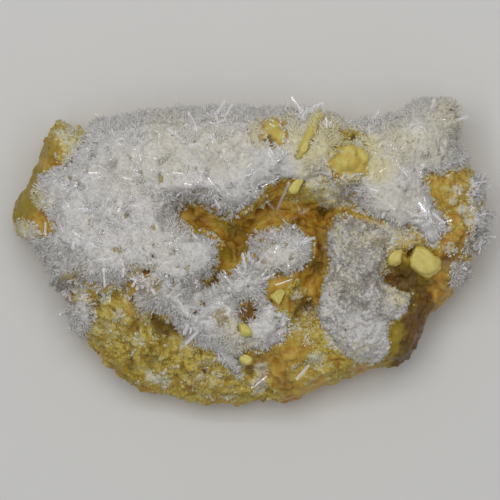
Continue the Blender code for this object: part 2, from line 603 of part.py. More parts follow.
def meet(first, second):
    """Whether two pieces' surfaces cross."""
    return bool(surface_of(first).overlap(surface_of(second)))


def add_boolean(target, operation, helper):
    change = target.modifiers.new(helper.name, "BOOLEAN")
    change.operation = operation
    change.solver = "EXACT"
    change.use_self = operation == "UNION"
    change.object = helper


def crystal_shape(outline, bottom, top, tilt, grown):
    """Layers of a flat-faced crystal: a narrow foot, a full waist and a smaller top face.

    The tilt raises it along x and y, per millimetre from the crystal's centre.
    """
    centre = [sum(point[i] for point in outline) / len(outline) for i in (0, 1)]
    layers = []
    for share, level in CRYSTAL_LEVELS:
        layer = []
        for x, y in outline:
            out = Vector((x - centre[0], y - centre[1]))
            out += out.normalized() * grown / share if out.length else out
            slope = (tilt[0] * out.x + tilt[1] * out.y) * share
            height = bottom - grown + level * (top - bottom + 2 * grown) + slope
            layer.append(Vector((centre[0] + out.x * share, centre[1] + out.y * share, height)))
        layers.append(layer)
    return layers


def shape_faces(layers):
    """Corners and faces of a closed stack of layers that all have the same number of points."""
    count = len(layers[0])
    corners = [corner for layer in layers for corner in layer]
    faces = [tuple(reversed(range(count)))]
    for level in range(len(layers) - 1):
        first = level * count
        for i in range(count):
            j = (i + 1) % count
            faces.append((first + i, first + j, first + count + j, first + count + i))
    faces.append(tuple(range(len(corners) - count, len(corners))))
    return corners, faces


def anticlockwise(outline):
    area = sum(ax * by - bx * ay for (ax, ay), (bx, by) in zip(outline, closed(outline)[1:]))
    return tuple(outline) if area > 0 else tuple(reversed(outline))


def blade_shape(grown):
    """Kite-shaped sections along the blade's edge."""
    layers = []
    for i, (x, y, height, half) in enumerate(BLADE):
        before = BLADE[max(i - 1, 0)]
        after = BLADE[min(i + 1, len(BLADE) - 1)]
        along = Vector((after[0] - before[0], after[1] - before[1], 0)).normalized()
        aside = Vector((along.y, -along.x, 0)) * (half + grown)
        end = along * grown * ((i == len(BLADE) - 1) - (i == 0))
        edge = Vector((x, y, height)) + end
        waist = edge - Vector((0, 0, BLADE_WAIST))
        layers.append([
            edge + Vector((0, 0, grown)),
            waist + aside,
            edge - Vector((0, 0, BLADE_DEPTH + grown)),
            waist - aside,
        ])
    return layers


def with_pocket(name, shape, pocket_shape, yellow):
    """A sulfur crystal, and the helper that cuts its pocket with a gap all round."""
    crystal = add_object(name, *shape_faces(shape), yellow)
    pocket = add_object(name + "_pocket", *shape_faces(pocket_shape), yellow)
    pocket.hide_render = True
    pocket.display_type = "WIRE"
    return crystal, pocket


def make_crystal(name, outline, ground, height, tilt, yellow):
    """A flat-faced crystal with its foot a little below the ground round it."""
    outline = anticlockwise(outline)
    bottom = ground - EMBED
    top = ground + height
    shapes = [crystal_shape(outline, bottom, top, tilt, grown) for grown in (0.0, GAP)]
    return with_pocket(name, *shapes, yellow)


def ground_at(outline):
    """Lowest height of the lump under an outline."""
    return min(on_lump(point).z for point in walked(outline, 1.0))


def loose_prism(name, start, end, radius, clear):
    """A clear prism lying in the open, and the helper that cuts its bed."""
    along = Vector(end) - Vector(start)
    made = []
    for extra, label in ((0.0, name), (GAP, name + "_bed")):
        mesh = bmesh.new()
        foot = Vector(start) - along.normalized() * extra
        length = along.length + BED_LENGTH * extra
        add_prism(mesh, foot, along, length, radius + BED_WIDTH * extra, TALL_TURN)
        made.append(helper_from(mesh, label))
    made[0].hide_render = False
    made[0].display_type = "TEXTURED"
    made[0].data.materials.append(clear)
    return made


def main():
    for old in list(bpy.data.objects):
        bpy.data.objects.remove(old, do_unlink=True)
    looks = {name: material(name, colour, roughness) for name, colour, roughness in LOOKS}
    crusts = [
        (name, [held_on(outline), *(walked(window, GRID_STEP) for window in windows)], *rest)
        for name, outline, windows, *rest in CRUSTS
    ]
    spots, triangles = triangulated([loop for _, edges, *_ in crusts for loop in edges])
    lump = make_lump(spots, triangles, looks["amber sulfur"])
    bases = [lump]
    ground = surface_of(lump)
    for name, edges, thickness, look, count, seed, tall in crusts:
        crust = make_crust(name, spots, triangles, edges, thickness, looks[look])
        add_boolean(crust, "UNION", make_prisms(crust, edges, thickness, count, seed, tall, ground))
        bases.append(crust)

    yellow = looks["lemon sulfur"]
    pockets = [with_pocket("sulfur_blade", blade_shape(0.0), blade_shape(BLADE_POCKET), yellow)[1]]
    for name, outline, height, tilt in CRYSTALS:
        pockets.append(make_crystal(name, outline, ground_at(outline), height, tilt, yellow)[1])
    for name, start, end, rise, lift, radius in LOOSE_PRISMS:
        foot = (*start, on_lump(start).z + rise)
        tip = (*end, max(on_lump(start).z, on_lump(end).z) + lift)
        pockets.append(loose_prism(name, foot, tip, radius, looks["clear prisms"])[1])
    for base in bases:
        for pocket in pockets:
            if meet(base, pocket):
                add_boolean(base, "DIFFERENCE", pocket)


main()
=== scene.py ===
"""Looks of a native sulfur specimen: amber sulfur, a white needle crust, clear prisms and lemon crystals."""

import json
import math

import bpy
import numpy as np
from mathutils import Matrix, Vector, noise
from mathutils.bvhtree import BVHTree

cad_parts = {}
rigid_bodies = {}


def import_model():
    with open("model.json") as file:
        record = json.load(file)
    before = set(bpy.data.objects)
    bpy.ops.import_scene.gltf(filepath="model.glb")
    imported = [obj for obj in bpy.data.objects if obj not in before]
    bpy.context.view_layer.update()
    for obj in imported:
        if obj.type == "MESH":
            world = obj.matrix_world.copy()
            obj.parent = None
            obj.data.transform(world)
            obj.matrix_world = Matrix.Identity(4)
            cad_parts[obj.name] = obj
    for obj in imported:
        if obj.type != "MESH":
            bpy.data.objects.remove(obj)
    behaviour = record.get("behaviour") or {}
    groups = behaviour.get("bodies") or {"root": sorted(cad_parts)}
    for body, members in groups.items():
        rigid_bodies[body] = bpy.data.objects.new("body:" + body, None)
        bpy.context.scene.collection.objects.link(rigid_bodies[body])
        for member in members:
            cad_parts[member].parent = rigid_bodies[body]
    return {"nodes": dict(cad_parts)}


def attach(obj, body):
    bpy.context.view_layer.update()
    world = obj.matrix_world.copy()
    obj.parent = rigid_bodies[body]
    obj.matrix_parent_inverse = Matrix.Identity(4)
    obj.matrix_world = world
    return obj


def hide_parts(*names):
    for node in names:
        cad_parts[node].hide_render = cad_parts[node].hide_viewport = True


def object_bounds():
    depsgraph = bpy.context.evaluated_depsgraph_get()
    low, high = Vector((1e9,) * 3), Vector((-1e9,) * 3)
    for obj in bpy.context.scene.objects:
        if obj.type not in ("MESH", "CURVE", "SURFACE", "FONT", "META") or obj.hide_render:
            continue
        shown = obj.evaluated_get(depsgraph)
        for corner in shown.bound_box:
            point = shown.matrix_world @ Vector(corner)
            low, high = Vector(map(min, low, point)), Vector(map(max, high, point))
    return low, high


bl_info = {
    "name": "Sulfur specimen looks",
    "version": (1, 0, 0),
    "blender": (4, 5, 0),
    "location": "3D View > Sidebar > Sulfur",
    "description": "Dresses the packed sulfur specimen with its crusts, needles, prisms and finishes",
    "category": "Object",
}

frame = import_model()
cad_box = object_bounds()

MM = 0.001
WELD = 1e-6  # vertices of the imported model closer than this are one
MOST_TRIANGLES = 190000  # in one piece
HIDDEN_SHARE = 0.75  # of the triangles that nothing shows, how many go
SNUG = 1.4  # crust and sulfur this near to a lemon crystal, in mm, close up to it
FLOOR_HALF = 1.5  # half the floor's width, in metres
ABOVE_ALL = 60.0  # height in mm from which rays look down
DOWN = Vector((0, 0, -1))
TURN = 6.3  # about a full turn, in radians

# Sizes of the faces that forms are evened out to, in mm.
LUMP_FACES = 0.52
CRYSTAL_FACES = 0.2
GREY_FACES = 0.36

# Distances between the places where small parts grow, in mm.
LOOSE_GRAINS = 0.36
GREY_GRAINS = 0.33
RIM_GRAINS = 0.40
LYING_PRISMS = 3.6
FAN_NEEDLES = 8  # in one fan

# The camera's view: its width in metres at the height of the crust, and the place it looks down on.
VIEW_WIDTH = 0.1158
VIEW_CENTRE = (-0.00133, 0.00038)
VIEW_HEIGHT = 0.022
VIEW_DISTANCE = 1.3
SENSOR = 36.0

# Strip lights: middle x, y, z and half-lengths along x and y, in metres.
STRIPS = (
    (-0.20, 0.05, 0.60, 0.0, 0.30), (0.20, 0.05, 0.60, 0.0, 0.30), (0.0, 0.28, 0.60, 0.25, 0.0),
)
STRIP_WIDTH = 0.022

# Where the sulfur shows each finish: x, y, reach in mm, strength. Amber is everywhere else.
LEMON = (
    (-42.5, 26.5, 4.5, 0.9), (-46, 29, 3, 0.6), (-38.5, 24, 3, 0.7), (-34.2, -13.4, 4.5, 1),
    (-31, -20, 8, 0.85), (-21, -24, 8.5, 0.9), (-11.5, -27, 7.5, 0.85), (-17, -31, 7, 0.7),
    (-36, -19, 5, 0.8), (-3, -30.5, 5.5, 0.75), (1.5, -33, 4, 0.9), (-7, -20, 4.5, 0.8), (16, -22, 4, 0.7),
    (13, -16, 3.5, 0.8), (10.5, -13, 3, 0.7), (7.5, -16.5, 2.5, 0.8), (-23.6, -14.9, 2.2, 1),
    (-26.9, -20.1, 2.6, 1), (-24.7, -22.6, 2, 0.9), (20.5, -15.5, 2.5, 0.7), (13.5, 15, 4, 0.7),
    (10, 12.5, 3, 0.6), (22, 27, 3.5, 0.7), (47, 7, 3.5, 0.5), (50, 16, 3, 0.5), (34.5, -11, 3.5, 0.8),
    (9, -9, 2.5, 0.8), (-5, 5.5, 2, 0.6), (2, 11, 3, 0.4), (11, -28, 4, 0.4), (14.6, -25.6, 3.2, 0.9),
    (19, -27, 4, 0.7), (43.5, 16, 4, 0.45), (46.5, 10.5, 3.5, 0.5), (50, 13, 3, 0.45), (42, -1, 4, 0.4),
)
# Where broken golden crystal faces swell out of the lump.
GOLD = (
    (21.2, 20.6, 2.5, 1), (23.6, 21, 2.4, 1), (18.6, 20.9, 2.1, 0.9), (22.2, 22.8, 2.1, 0.8),
    (24.6, 19.2, 1.4, 0.7),
)
# Where the lump rises to close up under the edges of the crust's windows.
FILLS = (
    (15.6, 13.8, 3.4, 1.4), (4, 27.2, 3.4, 1), (21.3, 27.6, 3.4, 1), (22, 20.6, 5.6, 0.9),
    (-2.9, -13.5, 2.6, 0.4),
)
GILDED = (
    (4, 26.6, 2.4, 0.9), (21, 27.4, 2.8, 0.35), (24, 26.2, 1.6, 0.5), (25.5, 19.2, 2, 0.7),
    (-34.2, -12.6, 2, 0.5),
)
FROST = (
    (-54, 4, 3.4, 1), (-41.5, 27.5, 3.5, 0.55), (-44, 22, 2.5, 0.5), (-47, 14, 2.5, 0.5),
    (-28, -20.5, 2.5, 0.45), (-15, -24, 3, 0.3), (-33, -18, 4, 0.4), (-36.5, -18, 2.5, 0.5),
    (-12, -29, 5, 0.54), (-21.7, -29.7, 2.2, 0.7), (-24.6, -29.4, 1.8, 0.65), (-31.5, -15, 2.5, 0.6),
    (-26, -14.5, 2.5, 0.6), (-35.5, -17, 3, 0.35), (-14, -31, 2.5, 0.35), (0.8, -31, 2.2, 1),
    (14.6, -25.6, 2.4, 0.75), (9.8, -10, 1.6, 0.7), (1.6, -27.5, 1.8, 0.9), (-6, -32.5, 2, 0.45),
    (-12, -18.5, 2.5, 0.5), (-41.5, 23, 3, 0.75), (-43.8, 27.4, 3, 0.72), (-39, 27.5, 2.5, 0.7),
    (12, -14.5, 3, 0.5), (48.3, 9.8, 1.5, 1), (49.2, 6.9, 1.1, 1), (46.8, 14.5, 1.3, 0.9),
    (45.5, 11.5, 1.1, 0.8), (44.8, 0.8, 2, 0.7), (-40.5, -9.5, 2, 0.8), (-38.2, -12.2, 1.8, 0.6),
    (13.8, 16.2, 2.4, 1), (17, 12, 2.4, 0.9), (10.5, 9.5, 1.4, 0.6), (18, 13.5, 4, 0.9), (27, 4, 4, 0.6),
    (22, -19, 3.5, 0.5), (31, 4, 5, 0.72), (51, 10, 3, 0.6), (38, 3.5, 4, 0.55), (36, 6, 3.5, 0.55),
    (47, 12.5, 3, 0.45), (29.5, -3.5, 2, 0.5), (50, -1, 3, 0.5), (11.5, 2, 2.5, 0.4), (48, 22, 2.5, 0.7),
    (20, -22, 2.5, 0.6), (12, -20, 3, 0.4),
)
# Brown sulfur: x, y, reach in mm, strength. Partly real brown faces, partly painted shade under overhangs and
# in the channel.
BROWN_AND_SHADE = (
    (36.5, -12, 3, 0.8), (37.5, -17, 3.6, 1), (36.5, -22, 3.4, 1), (34.5, -26, 3, 0.9), (39, -12.5, 3, 0.9),
    (3.5, 24.5, 2.2, 0.5), (-1.5, -14, 3, 0.8), (4, -10, 2, 0.5), (14.5, -3, 3, 0.7), (11, -12, 3, 0.7),
    (33, -7, 5, 0.8), (38, -9, 3, 0.7), (-4, 2, 4.5, 0.55), (-27, -12, 3, 0.6), (-10, -13.5, 3, 0.8),
    (-12, 9, 4, 0.5), (0, 8, 3, 0.45), (10, 5, 3.5, 0.5), (15.5, 3.5, 3.5, 0.6), (31.5, -9, 3.5, 0.7),
    (48, 1, 3, 0.6), (-16, -15.5, 3, 0.7), (34.5, -7, 3.6, 1), (31.5, -6, 2.5, 0.9),
    (-22.4, -16.6, 2.2, 0.75), (-19, -17.6, 2.4, 0.75), (-15.6, -18.8, 2, 0.6), (-20.9, -21.4, 2, 0.55),
    (-24.7, -24.4, 1.8, 0.5), (-29, -26.4, 1.8, 0.6), (-33.2, -27.4, 2.4, 0.5), (-37.6, -12.2, 1.6, 0.8),
    (-24, -24.5, 4.5, 0.4), (4, 9.3, 2.8, 0.5), (0.8, -24.9, 1.8, 0.6), (-1.1, -27.9, 1.6, 0.7),
    (2.3, 24.4, 1.5, 1), (22.7, 26, 1, 0.9), (-31.8, -17.4, 1.2, 0.55), (-25.4, -17.6, 1, 0.55),
    (-34.8, -20.8, 1.2, 0.5), (-28.6, -22.8, 1.1, 0.5), (-11.8, -26.6, 1.2, 0.45), (-8.4, -29.4, 1.1, 0.5),
    (-17.6, -27, 1.2, 0.5), (15.4, 9, 1.8, 0.7), (34.5, 5, 1.8, 0.9), (31.6, 6.8, 1.3, 0.8),
    (37.8, 5.4, 1.2, 0.7), (6.8, -31, 3.2, 0.6), (44.5, 14.5, 2.4, 0.35), (45.5, -2.5, 3, 0.7),
    (9.5, 14.8, 1.6, 0.7), (43, -3.5, 2.2, 0.6), (40.5, -7, 2, 0.6),
)
OLIVE = (
    (-54.5, 11, 4, 1), (-52, 17.5, 3.5, 0.7), (-48.5, 24, 3.5, 0.6), (33.5, -23, 3.4, 1),
    (32.8, -18, 3, 0.9), (30.5, -27, 4, 0.6), (-41, -17, 4, 0.6), (-30, -29, 6, 0.6), (-12, -34, 5, 0.5),
    (20.5, 27, 3, 0.8), (41, -15, 3.5, 0.5), (52.5, 3, 4, 0.5), (-20, -22, 6, 0.35), (-7.5, 7, 2.5, 0.7),
    (-7, -0.5, 2, 0.6), (36, -5, 4, 0.8), (37.5, -7.5, 3, 0.7),
)
# Where the white crust is tinted yellow: x, y, reach in mm, strength.
YELLOWED = (
    (16, 27.5, 4.2, 0.85), (12.5, 23.5, 4.2, 0.85), (9.5, 26.5, 3, 0.7), (18.5, 22.8, 4.2, 0.95),
    (25.5, 23.5, 4, 0.85), (28.5, 19, 3.5, 0.75), (0.8, 27, 3, 0.7), (7.2, 25.2, 2.2, 0.6),
    (8, 30, 2.6, 0.45), (31, 21.5, 4, 0.4), (12, 17.8, 3, 0.5), (-20, 27, 5, 0.25), (-36, -13, 2.5, 0.6),
    (-27.5, -13.2, 2.5, 0.5), (-29, 17.5, 7, 0.12), (-8, 24, 7, 0.22), (-21, 21, 6, 0.2), (40, 26, 6, 0.3),
    (33, 13, 6, 0.18), (44, 31, 4, 0.4), (33, 24.5, 5, 0.45), (-20.5, 2, 6, 0.08), (5.5, -3.5, 5, 0.15),
    (22, 4.5, 5.5, 0.5), (30, 2, 4.5, 0.45), (4, 27.5, 3.5, 0.35), (24, -24, 3, 0.4),
    (-4.5, -17.5, 3.5, 0.35), (7.5, -9.5, 3, 0.5), (20, -7, 4, 0.3), (-51, 11.5, 3, 0.8),
    (33, -9.5, 3, 0.8), (-2, -22, 3, 0.4),
)
# Where the crust is darker and glassier, partly real smoky crystals and partly painted shade: x, y, reach in
# mm, strength.
SMOKY_AND_SHADE = (
    (-43.5, -8.5, 4, 0.9), (-41, -6, 3, 0.6), (-27.5, -6, 4, 0.7), (-15, 15, 4, 0.25), (-21, 9, 4, 0.2),
    (-15, 9, 3.5, 0.8), (49.5, 3, 3, 0.7), (-24, -8.5, 3, 0.7), (-8.5, -15.5, 2.5, 0.7),
    (2.5, 1.5, 2.5, 0.5), (23.5, 0, 4, 0.5), (32, -2.5, 3, 0.6), (19, -8, 3, 0.5), (-11.5, 5.5, 3, 0.6),
    (24.5, 5, 4, 0.5), (29.5, 3, 3.5, 0.5), (33.5, 1, 3.2, 0.8), (45.5, -3, 3.5, 0.6), (-29, 3, 8.5, 0.3),
    (5, -1, 6, 0.25), (31, -16, 2.5, 0.3),
)
# Gaps in the crust that open on the sulfur below: x, y, radius in mm.
PITS = (
    (-12.7, -11.7, 0.9), (-10.4, -6.3, 1.2), (-13.8, -13.5, 0.9), (5.2, -6.1, 1.2), (-0.2, -1, 1),
    (1.4, 3.2, 0.9), (-6.2, -15.8, 0.6), (5.6, -15.6, 1.2), (-25.6, -5.2, 1.3), (-23.8, -1.5, 0.8),
    (-28.7, -8.7, 1.6), (-37.5, -10.6, 1), (-8.8, -9, 0.7), (-18, 12, 0.6), (-15, 10.5, 0.7),
)
# Single clear prisms: foot x, y, tip x, y, radius, rise of the tip over the crust, all in mm.
PRISMS = (
    (-29.9, 28.3, -30.3, 25, 0.22, 0.6), (-20.1, 29.9, -18.1, 27.2, 0.42, 0.8),
    (-17.9, 29.2, -16.2, 26.6, 0.18, 0.7), (-27.3, 18, -26, 17.1, 0.16, 0.3),
    (-41.9, 9.7, -38.5, 10, 0.28, 0.3), (-37.5, 9.8, -35.4, 10, 0.28, 0.3),
    (-42.3, 4.7, -37.1, 1.4, 0.2, 0.3), (-18.8, 8.5, -19.4, 3.5, 0.42, 1),
    (-48.7, 6.7, -48.7, 3.7, 0.26, 0.6), (-34.9, -4.2, -34.7, -8.3, 0.26, 0.5),
    (-33.8, -10.3, -33.8, -12, 0.25, 0.5), (-30.4, -3.8, -30.6, -6, 0.36, 0.7),
    (-28.2, -6, -27.1, -7.7, 0.3, 0.6), (-26.2, -5, -25.6, -7, 0.28, 0.6),
    (-26, -7.9, -24.2, -6.5, 0.26, 0.7), (-7.6, -4.2, -6.8, -5.3, 0.24, 0.5),
    (-2.2, -4.6, -3.1, -0.1, 0.42, 1.8), (-9.8, 31.2, -8.3, 32.7, 0.3, 0.8),
    (-9.8, 26.9, -9.9, 25, 0.24, 0.5), (-8.7, 9.5, -7.9, 8.4, 0.24, 0.8),
    (-37.5, -2, -33.8, -1.6, 0.2, 0.3), (-12.8, -18.3, -9.4, -15.3, 0.26, 0.9),
    (-12.4, -18.9, -9, -15.9, 0.22, 0.7), (-43.9, 19.4, -44.6, 17.6, 0.3, 0.5),
    (1.7, -6.4, 4.6, -4.9, 0.26, 0.8), (4.6, -7.7, 8.4, -6.4, 0.18, 0.6), (3, 5.7, 3.8, 2.8, 0.42, 1),
    (-16.2, -16.8, -15.5, -17.6, 0.34, 0.7), (-14.8, -13.8, -13.5, -16.4, 0.26, 0.6),
    (-11.5, -20, -10.3, -20.6, 0.28, 0.5), (-1, -31.8, 2.7, -28.9, 0.22, 0.4),
    (12.8, -21.4, 13.6, -20.6, 0.14, 0.3), (10.8, 2.2, 12, 3.3, 0.34, 0.7),
    (6.7, -15.3, 8.1, -15.8, 0.2, 0.5), (-13.9, -5.8, -13.8, -7.6, 0.28, 0.7),
    (-12.9, -6.7, -14.1, -8.8, 0.16, 0.6), (37.6, 11.3, 39.3, 8.9, 0.4, 0.9),
    (35.2, 9.2, 36.3, 8, 0.16, 0.6), (51.9, 12.5, 52.1, 10.7, 0.22, 0.6), (41.9, 7.4, 42.7, 5.9, 0.22, 0.6),
    (47, 14.8, 47.2, 13, 0.26, 0.6), (11.1, 31.9, 9.3, 34.5, 0.4, 0.9), (11.7, 32.1, 14.1, 34.3, 0.4, 0.9),
    (8.6, 31.9, 8.2, 32.8, 0.32, 0.5), (20.6, 28.8, 17.3, 30.8, 0.3, 0.9),
    (16.4, 28.6, 16.2, 31.2, 0.26, 0.7), (17.2, 28.3, 16.8, 30, 0.2, 0.7),
    (21.5, 29.7, 22.4, 30.8, 0.3, 0.6), (31, 25.5, 31.2, 24.2, 0.34, 0.6),
    (3.1, 29.5, 4.5, 28.8, 0.18, 0.5), (4.5, 25, 6.4, 22.4, 0.22, 0.7), (5.1, 20.8, 6.2, 21.9, 0.2, 0.6),
    (1.4, 14.9, 5.1, 16.8, 0.14, 0.5), (-11, 17, -9.6, 15.2, 0.2, 0.4), (-33, 6, -31.6, 8.2, 0.16, 0.3),
    (26.5, 14.4, 28.3, 14, 0.18, 0.4), (33.8, 18.7, 35.1, 17.2, 0.2, 0.4),
)
# Fans of clear prisms: middle x, y, how many, length, radius in mm.
FANS = (
    (-43.5, -8.8, 16, 2.4, 0.34), (-41, -7.2, 10, 2, 0.28), (-27.3, -6.5, 14, 2.2, 0.32),
    (-25, -8, 8, 1.8, 0.26), (-13.6, -6.8, 8, 2.2, 0.22), (-9.5, 30, 14, 3, 0.26),
    (-9.5, 25.6, 9, 1.8, 0.22), (10.5, 31.4, 10, 2.4, 0.32), (17, 29, 8, 2, 0.24),
    (38.5, 9.8, 8, 2.6, 0.28), (6, 22.5, 10, 2, 0.22), (-17.8, 28.6, 8, 2.4, 0.26), (2.8, 3.4, 9, 2.2, 0.3),
    (11, 2.6, 8, 2, 0.24), (-14.5, -15.8, 9, 2.2, 0.26), (50.5, 10.5, 8, 1.8, 0.26), (52.3, 2, 10, 2, 0.26),
    (-45.5, 17, 8, 1.6, 0.24), (-2.6, -5.4, 14, 3, 0.24), (-3.2, -13.2, 7, 1.6, 0.2),
    (-39.6, -10.2, 9, 1.9, 0.26), (31.8, 1.8, 8, 1.6, 0.22), (22.2, 29.8, 7, 1.8, 0.26),
    (37, 29, 8, 1.8, 0.22), (44, 30.5, 8, 1.8, 0.22), (-35.5, -8, 8, 2.2, 0.24),
)


# Where the lump swells at the left edge, and where the grey crust is whitest and murkiest.
LEFT_SWELL = ((-55.5, 8.5, 4.5, 1),)
WHITEST = ((27.5, -21, 5.5, 1), (33, -14, 3, 0.6))
MURKY = ((25, -7.5, 6, 0.7),)
# The white crusts, each with the size of its ground's faces in mm.
CRUSTS = (
    ("needle_crust", 0.51), ("foot_crust", 0.36), ("right_tip_crust", 0.36), ("right_edge_crust", 0.36),
    ("right_lower_crust", 0.36),
)
ALL_CRUSTS = tuple(node for node, _ in CRUSTS) + ("grey_crust",)
HOOK_ENDS = ((7.2, 14.2), (11.2, 17.6))  # its broad end and its tip: x, y in mm
# What is left of a thick prism at the back is pushed in to the level of the crust: its middle, that y and how
# far it reaches, in mm.
BACK_STUB = (30.9, 33.6, 12.7)
BACK_LEVEL = 32.2
STUB_REACH = 1.6
RAGGED_BELOW = 12.5  # the needle crust's ragged foot starts at this height, in mm
MIDDLE_CRYSTALS = ("upper_sulfur_crystal", "middle_sulfur_crystal", "lower_sulfur_crystal")
CRYSTALS = ("large_lemon_crystal", "small_lemon_crystal", "sulfur_blade", "sulfur_hook", *MIDDLE_CRYSTALS)


def reach(points, spots):
    """For points in mm, the strongest of several soft round spots at each."""
    found = np.zeros(len(points))
    for x, y, radius, strength in spots:
        away = ((points[:, 0] - x) ** 2 + (points[:, 1] - y) ** 2) / radius**2
        found = np.maximum(found, strength * np.exp(-away * away * 0.7))
    return found


def rough(points, size, seed, octaves=3):
    """Fractal noise, about -1 to 1, at points in mm."""
    shift = Vector((seed * 3.7, seed * -1.9, seed * 5.3))
    return np.array([noise.fractal(Vector(p) / size + shift, 1.0, 2.1, octaves) for p in points.tolist()])


def crumbs(points, size, seed):
    """Rounded cells, 1 in the middle of a grain and 0 between grains, at points in mm."""
    shift = Vector((seed * 2.3, seed * 4.1, seed * -3.1))
    found = []
    for p in points.tolist():
        near = noise.voronoi(Vector(p) / size + shift)[0]
        found.append(near[1] - near[0])
    return np.clip(np.array(found) * 1.6, 0, 1)


def chipped(points, size, seed):
    """Relief of broken faces, about -0.5 to 0.5: each cell of about this size in mm leans its own way."""
    shift = Vector((seed * 1.7, seed * 2.9, seed * -4.3))
    found = []
    for p in points.tolist():
        place = Vector(p) / size + shift
        middle = noise.voronoi(place)[1][0]
        found.append((place - middle).dot(noise.cell_vector(middle * 7.3) * 2 - Vector((1, 1, 1))))
    return np.array(found)


def granular_marks(points, ragged):
    """How lemon and how frosted the sulfur is, fading near the floor along a ragged line."""
    off_floor = np.clip((points[:, 2] + 3.5 * ragged - 2.0) / 6.0, 0, 1)
    return reach(points, LEMON) * off_floor, reach(points, FROST) * off_floor


def threes(items, name, kind=float):
    """The three values that each item of a mesh holds under this name."""
    values = np.empty(len(items) * 3, kind)
    items.foreach_get(name, values)
    return values.reshape(-1, 3)


def triangles(mesh):
    mesh.calc_loop_triangles()
    return threes(mesh.loop_triangles, "vertices", np.int32)


def arrays(obj):
    """Welded corners, in metres, and triangles of an object's mesh."""
    faces = triangles(obj.data)
    points = threes(obj.data.vertices, "co")
    keys = np.round(points / WELD).astype(np.int64)
    _, first, index = np.unique(keys, axis=0, return_index=True, return_inverse=True)
    faces = index.reshape(-1)[faces]
    whole = (faces[:, 0] != faces[:, 1]) & (faces[:, 1] != faces[:, 2]) & (faces[:, 0] != faces[:, 2])
    return points[first], faces[whole]


def scaled_arrays(node):
    """A CAD node's welded corners, in mm, and its triangles."""
    points, faces = arrays(frame["nodes"][node])
    return points / MM, faces


def new_piece(name, points, faces, look=None):
    mesh = bpy.data.meshes.new(name)
    mesh.from_pydata(points.tolist(), [], faces.tolist())
    mesh.update()
    piece = bpy.data.objects.new(name, mesh)
    bpy.context.scene.collection.objects.link(piece)
    if look:
        mesh.materials.append(look)
    return piece


def apply_modifiers(piece):
    """Turns what the modifiers make into the piece's own mesh."""
    graph = bpy.context.evaluated_depsgraph_get()
    made = bpy.data.meshes.new_from_object(piece.evaluated_get(graph))
    old = piece.data
    piece.modifiers.clear()
    piece.data = made
    bpy.data.meshes.remove(old)


def remesh(piece, voxel, smoothing):
    """Evens the mesh out to small faces and rounds it."""
    change = piece.modifiers.new("even", "REMESH")
    change.mode = "VOXEL"
    change.voxel_size = voxel * MM
    if smoothing:
        soften = piece.modifiers.new("soft", "SMOOTH")
        soften.factor = 0.5
        soften.iterations = smoothing
    apply_modifiers(piece)


def thin_out(piece, hidden):
    """Collapses most triangles among the corners that nothing shows."""
    group = piece.vertex_groups.new(name="hidden")
    group.add(np.flatnonzero(hidden).tolist(), 1.0, "REPLACE")
    change = piece.modifiers.new("thin", "DECIMATE")
    change.vertex_group = group.name
    change.ratio = 1 - HIDDEN_SHARE * hidden.mean()
    apply_modifiers(piece)
    piece.vertex_groups.clear()


def corners(piece):
    """A mesh's corners and their normals, both in mm."""
    return threes(piece.data.vertices, "co") / MM, threes(piece.data.vertex_normals, "vector")


def put_corners(piece, points):
    points = np.array(points)
    points[:, 2] = np.maximum(points[:, 2], 0.0)
    piece.data.vertices.foreach_set("co", (points * MM).reshape(-1))
    piece.data.update()


def mark(piece, name, values):
    """Keeps one number at each corner, for the materials to read."""
    held = piece.data.attributes.new(name, "FLOAT", "POINT")
    held.data.foreach_set("value", np.asarray(values, np.float32))


def surface(points, faces):
    return BVHTree.FromPolygons(points.tolist(), faces.tolist())


def surface_of(obj):
    """An object's surface, in mm."""
    points, faces = arrays(obj)
    return surface(points / MM, faces)


def node_surfaces(names):
    """Each CAD node's surface with its lowest and highest corners, in mm."""
    found = []
    for name in names:
        points, faces = scaled_arrays(name)
        found.append((surface(points, faces), points.min(axis=0), points.max(axis=0)))
    return found


def gaps_to(names, points, distance):
    """How far outside the nearest of the CAD nodes each point, in mm, lies, and the nearest place on it."""
    gaps = np.full(len(points), float(distance))
    nearest = points.copy()
    for tree, low, high in node_surfaces(names):
        close = ((points > low - distance) & (points < high + distance)).all(axis=1)
        for i in np.flatnonzero(close).tolist():
            place, facing, _, away = tree.find_nearest(Vector(points[i]))
            if (Vector(points[i]) - place).dot(facing) < 0:
                away = -away
            if away < gaps[i]:
                gaps[i] = away
                nearest[i] = place
    return gaps, nearest


def snug(points):
    """Draws points, in mm, that lie close outside a lemon crystal onto it."""
    gaps, nearest = gaps_to(CRYSTALS, points, SNUG)
    pull = np.where(gaps > 0, np.clip(1.5 - 1.5 * gaps / SNUG, 0, 1), 0)
    return points + (nearest - points) * pull[:, None]


def pressed(points):
    """Keeps points, in mm, below the top faces of the lemon crystals that lie over them."""
    points = points.copy()
    for tree, low, high in node_surfaces(CRYSTALS):
        beside = ((points[:, :2] > low[:2]) & (points[:, :2] < high[:2])).all(axis=1)
        for i in np.flatnonzero(beside & (points[:, 2] > low[2] - 1)).tolist():
            top = tree.ray_cast(Vector((points[i, 0], points[i, 1], ABOVE_ALL)), DOWN)[0]
            if top is not None:
                points[i, 2] = min(points[i, 2], top.z - 0.3)
    return points


def settle(piece, slot, *nodes):
    """Rides the piece on the specimen and hides the nodes it stands for; the slot for its finish is not used.
    """
    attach(piece, "root")
    if nodes:
        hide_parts(*nodes)


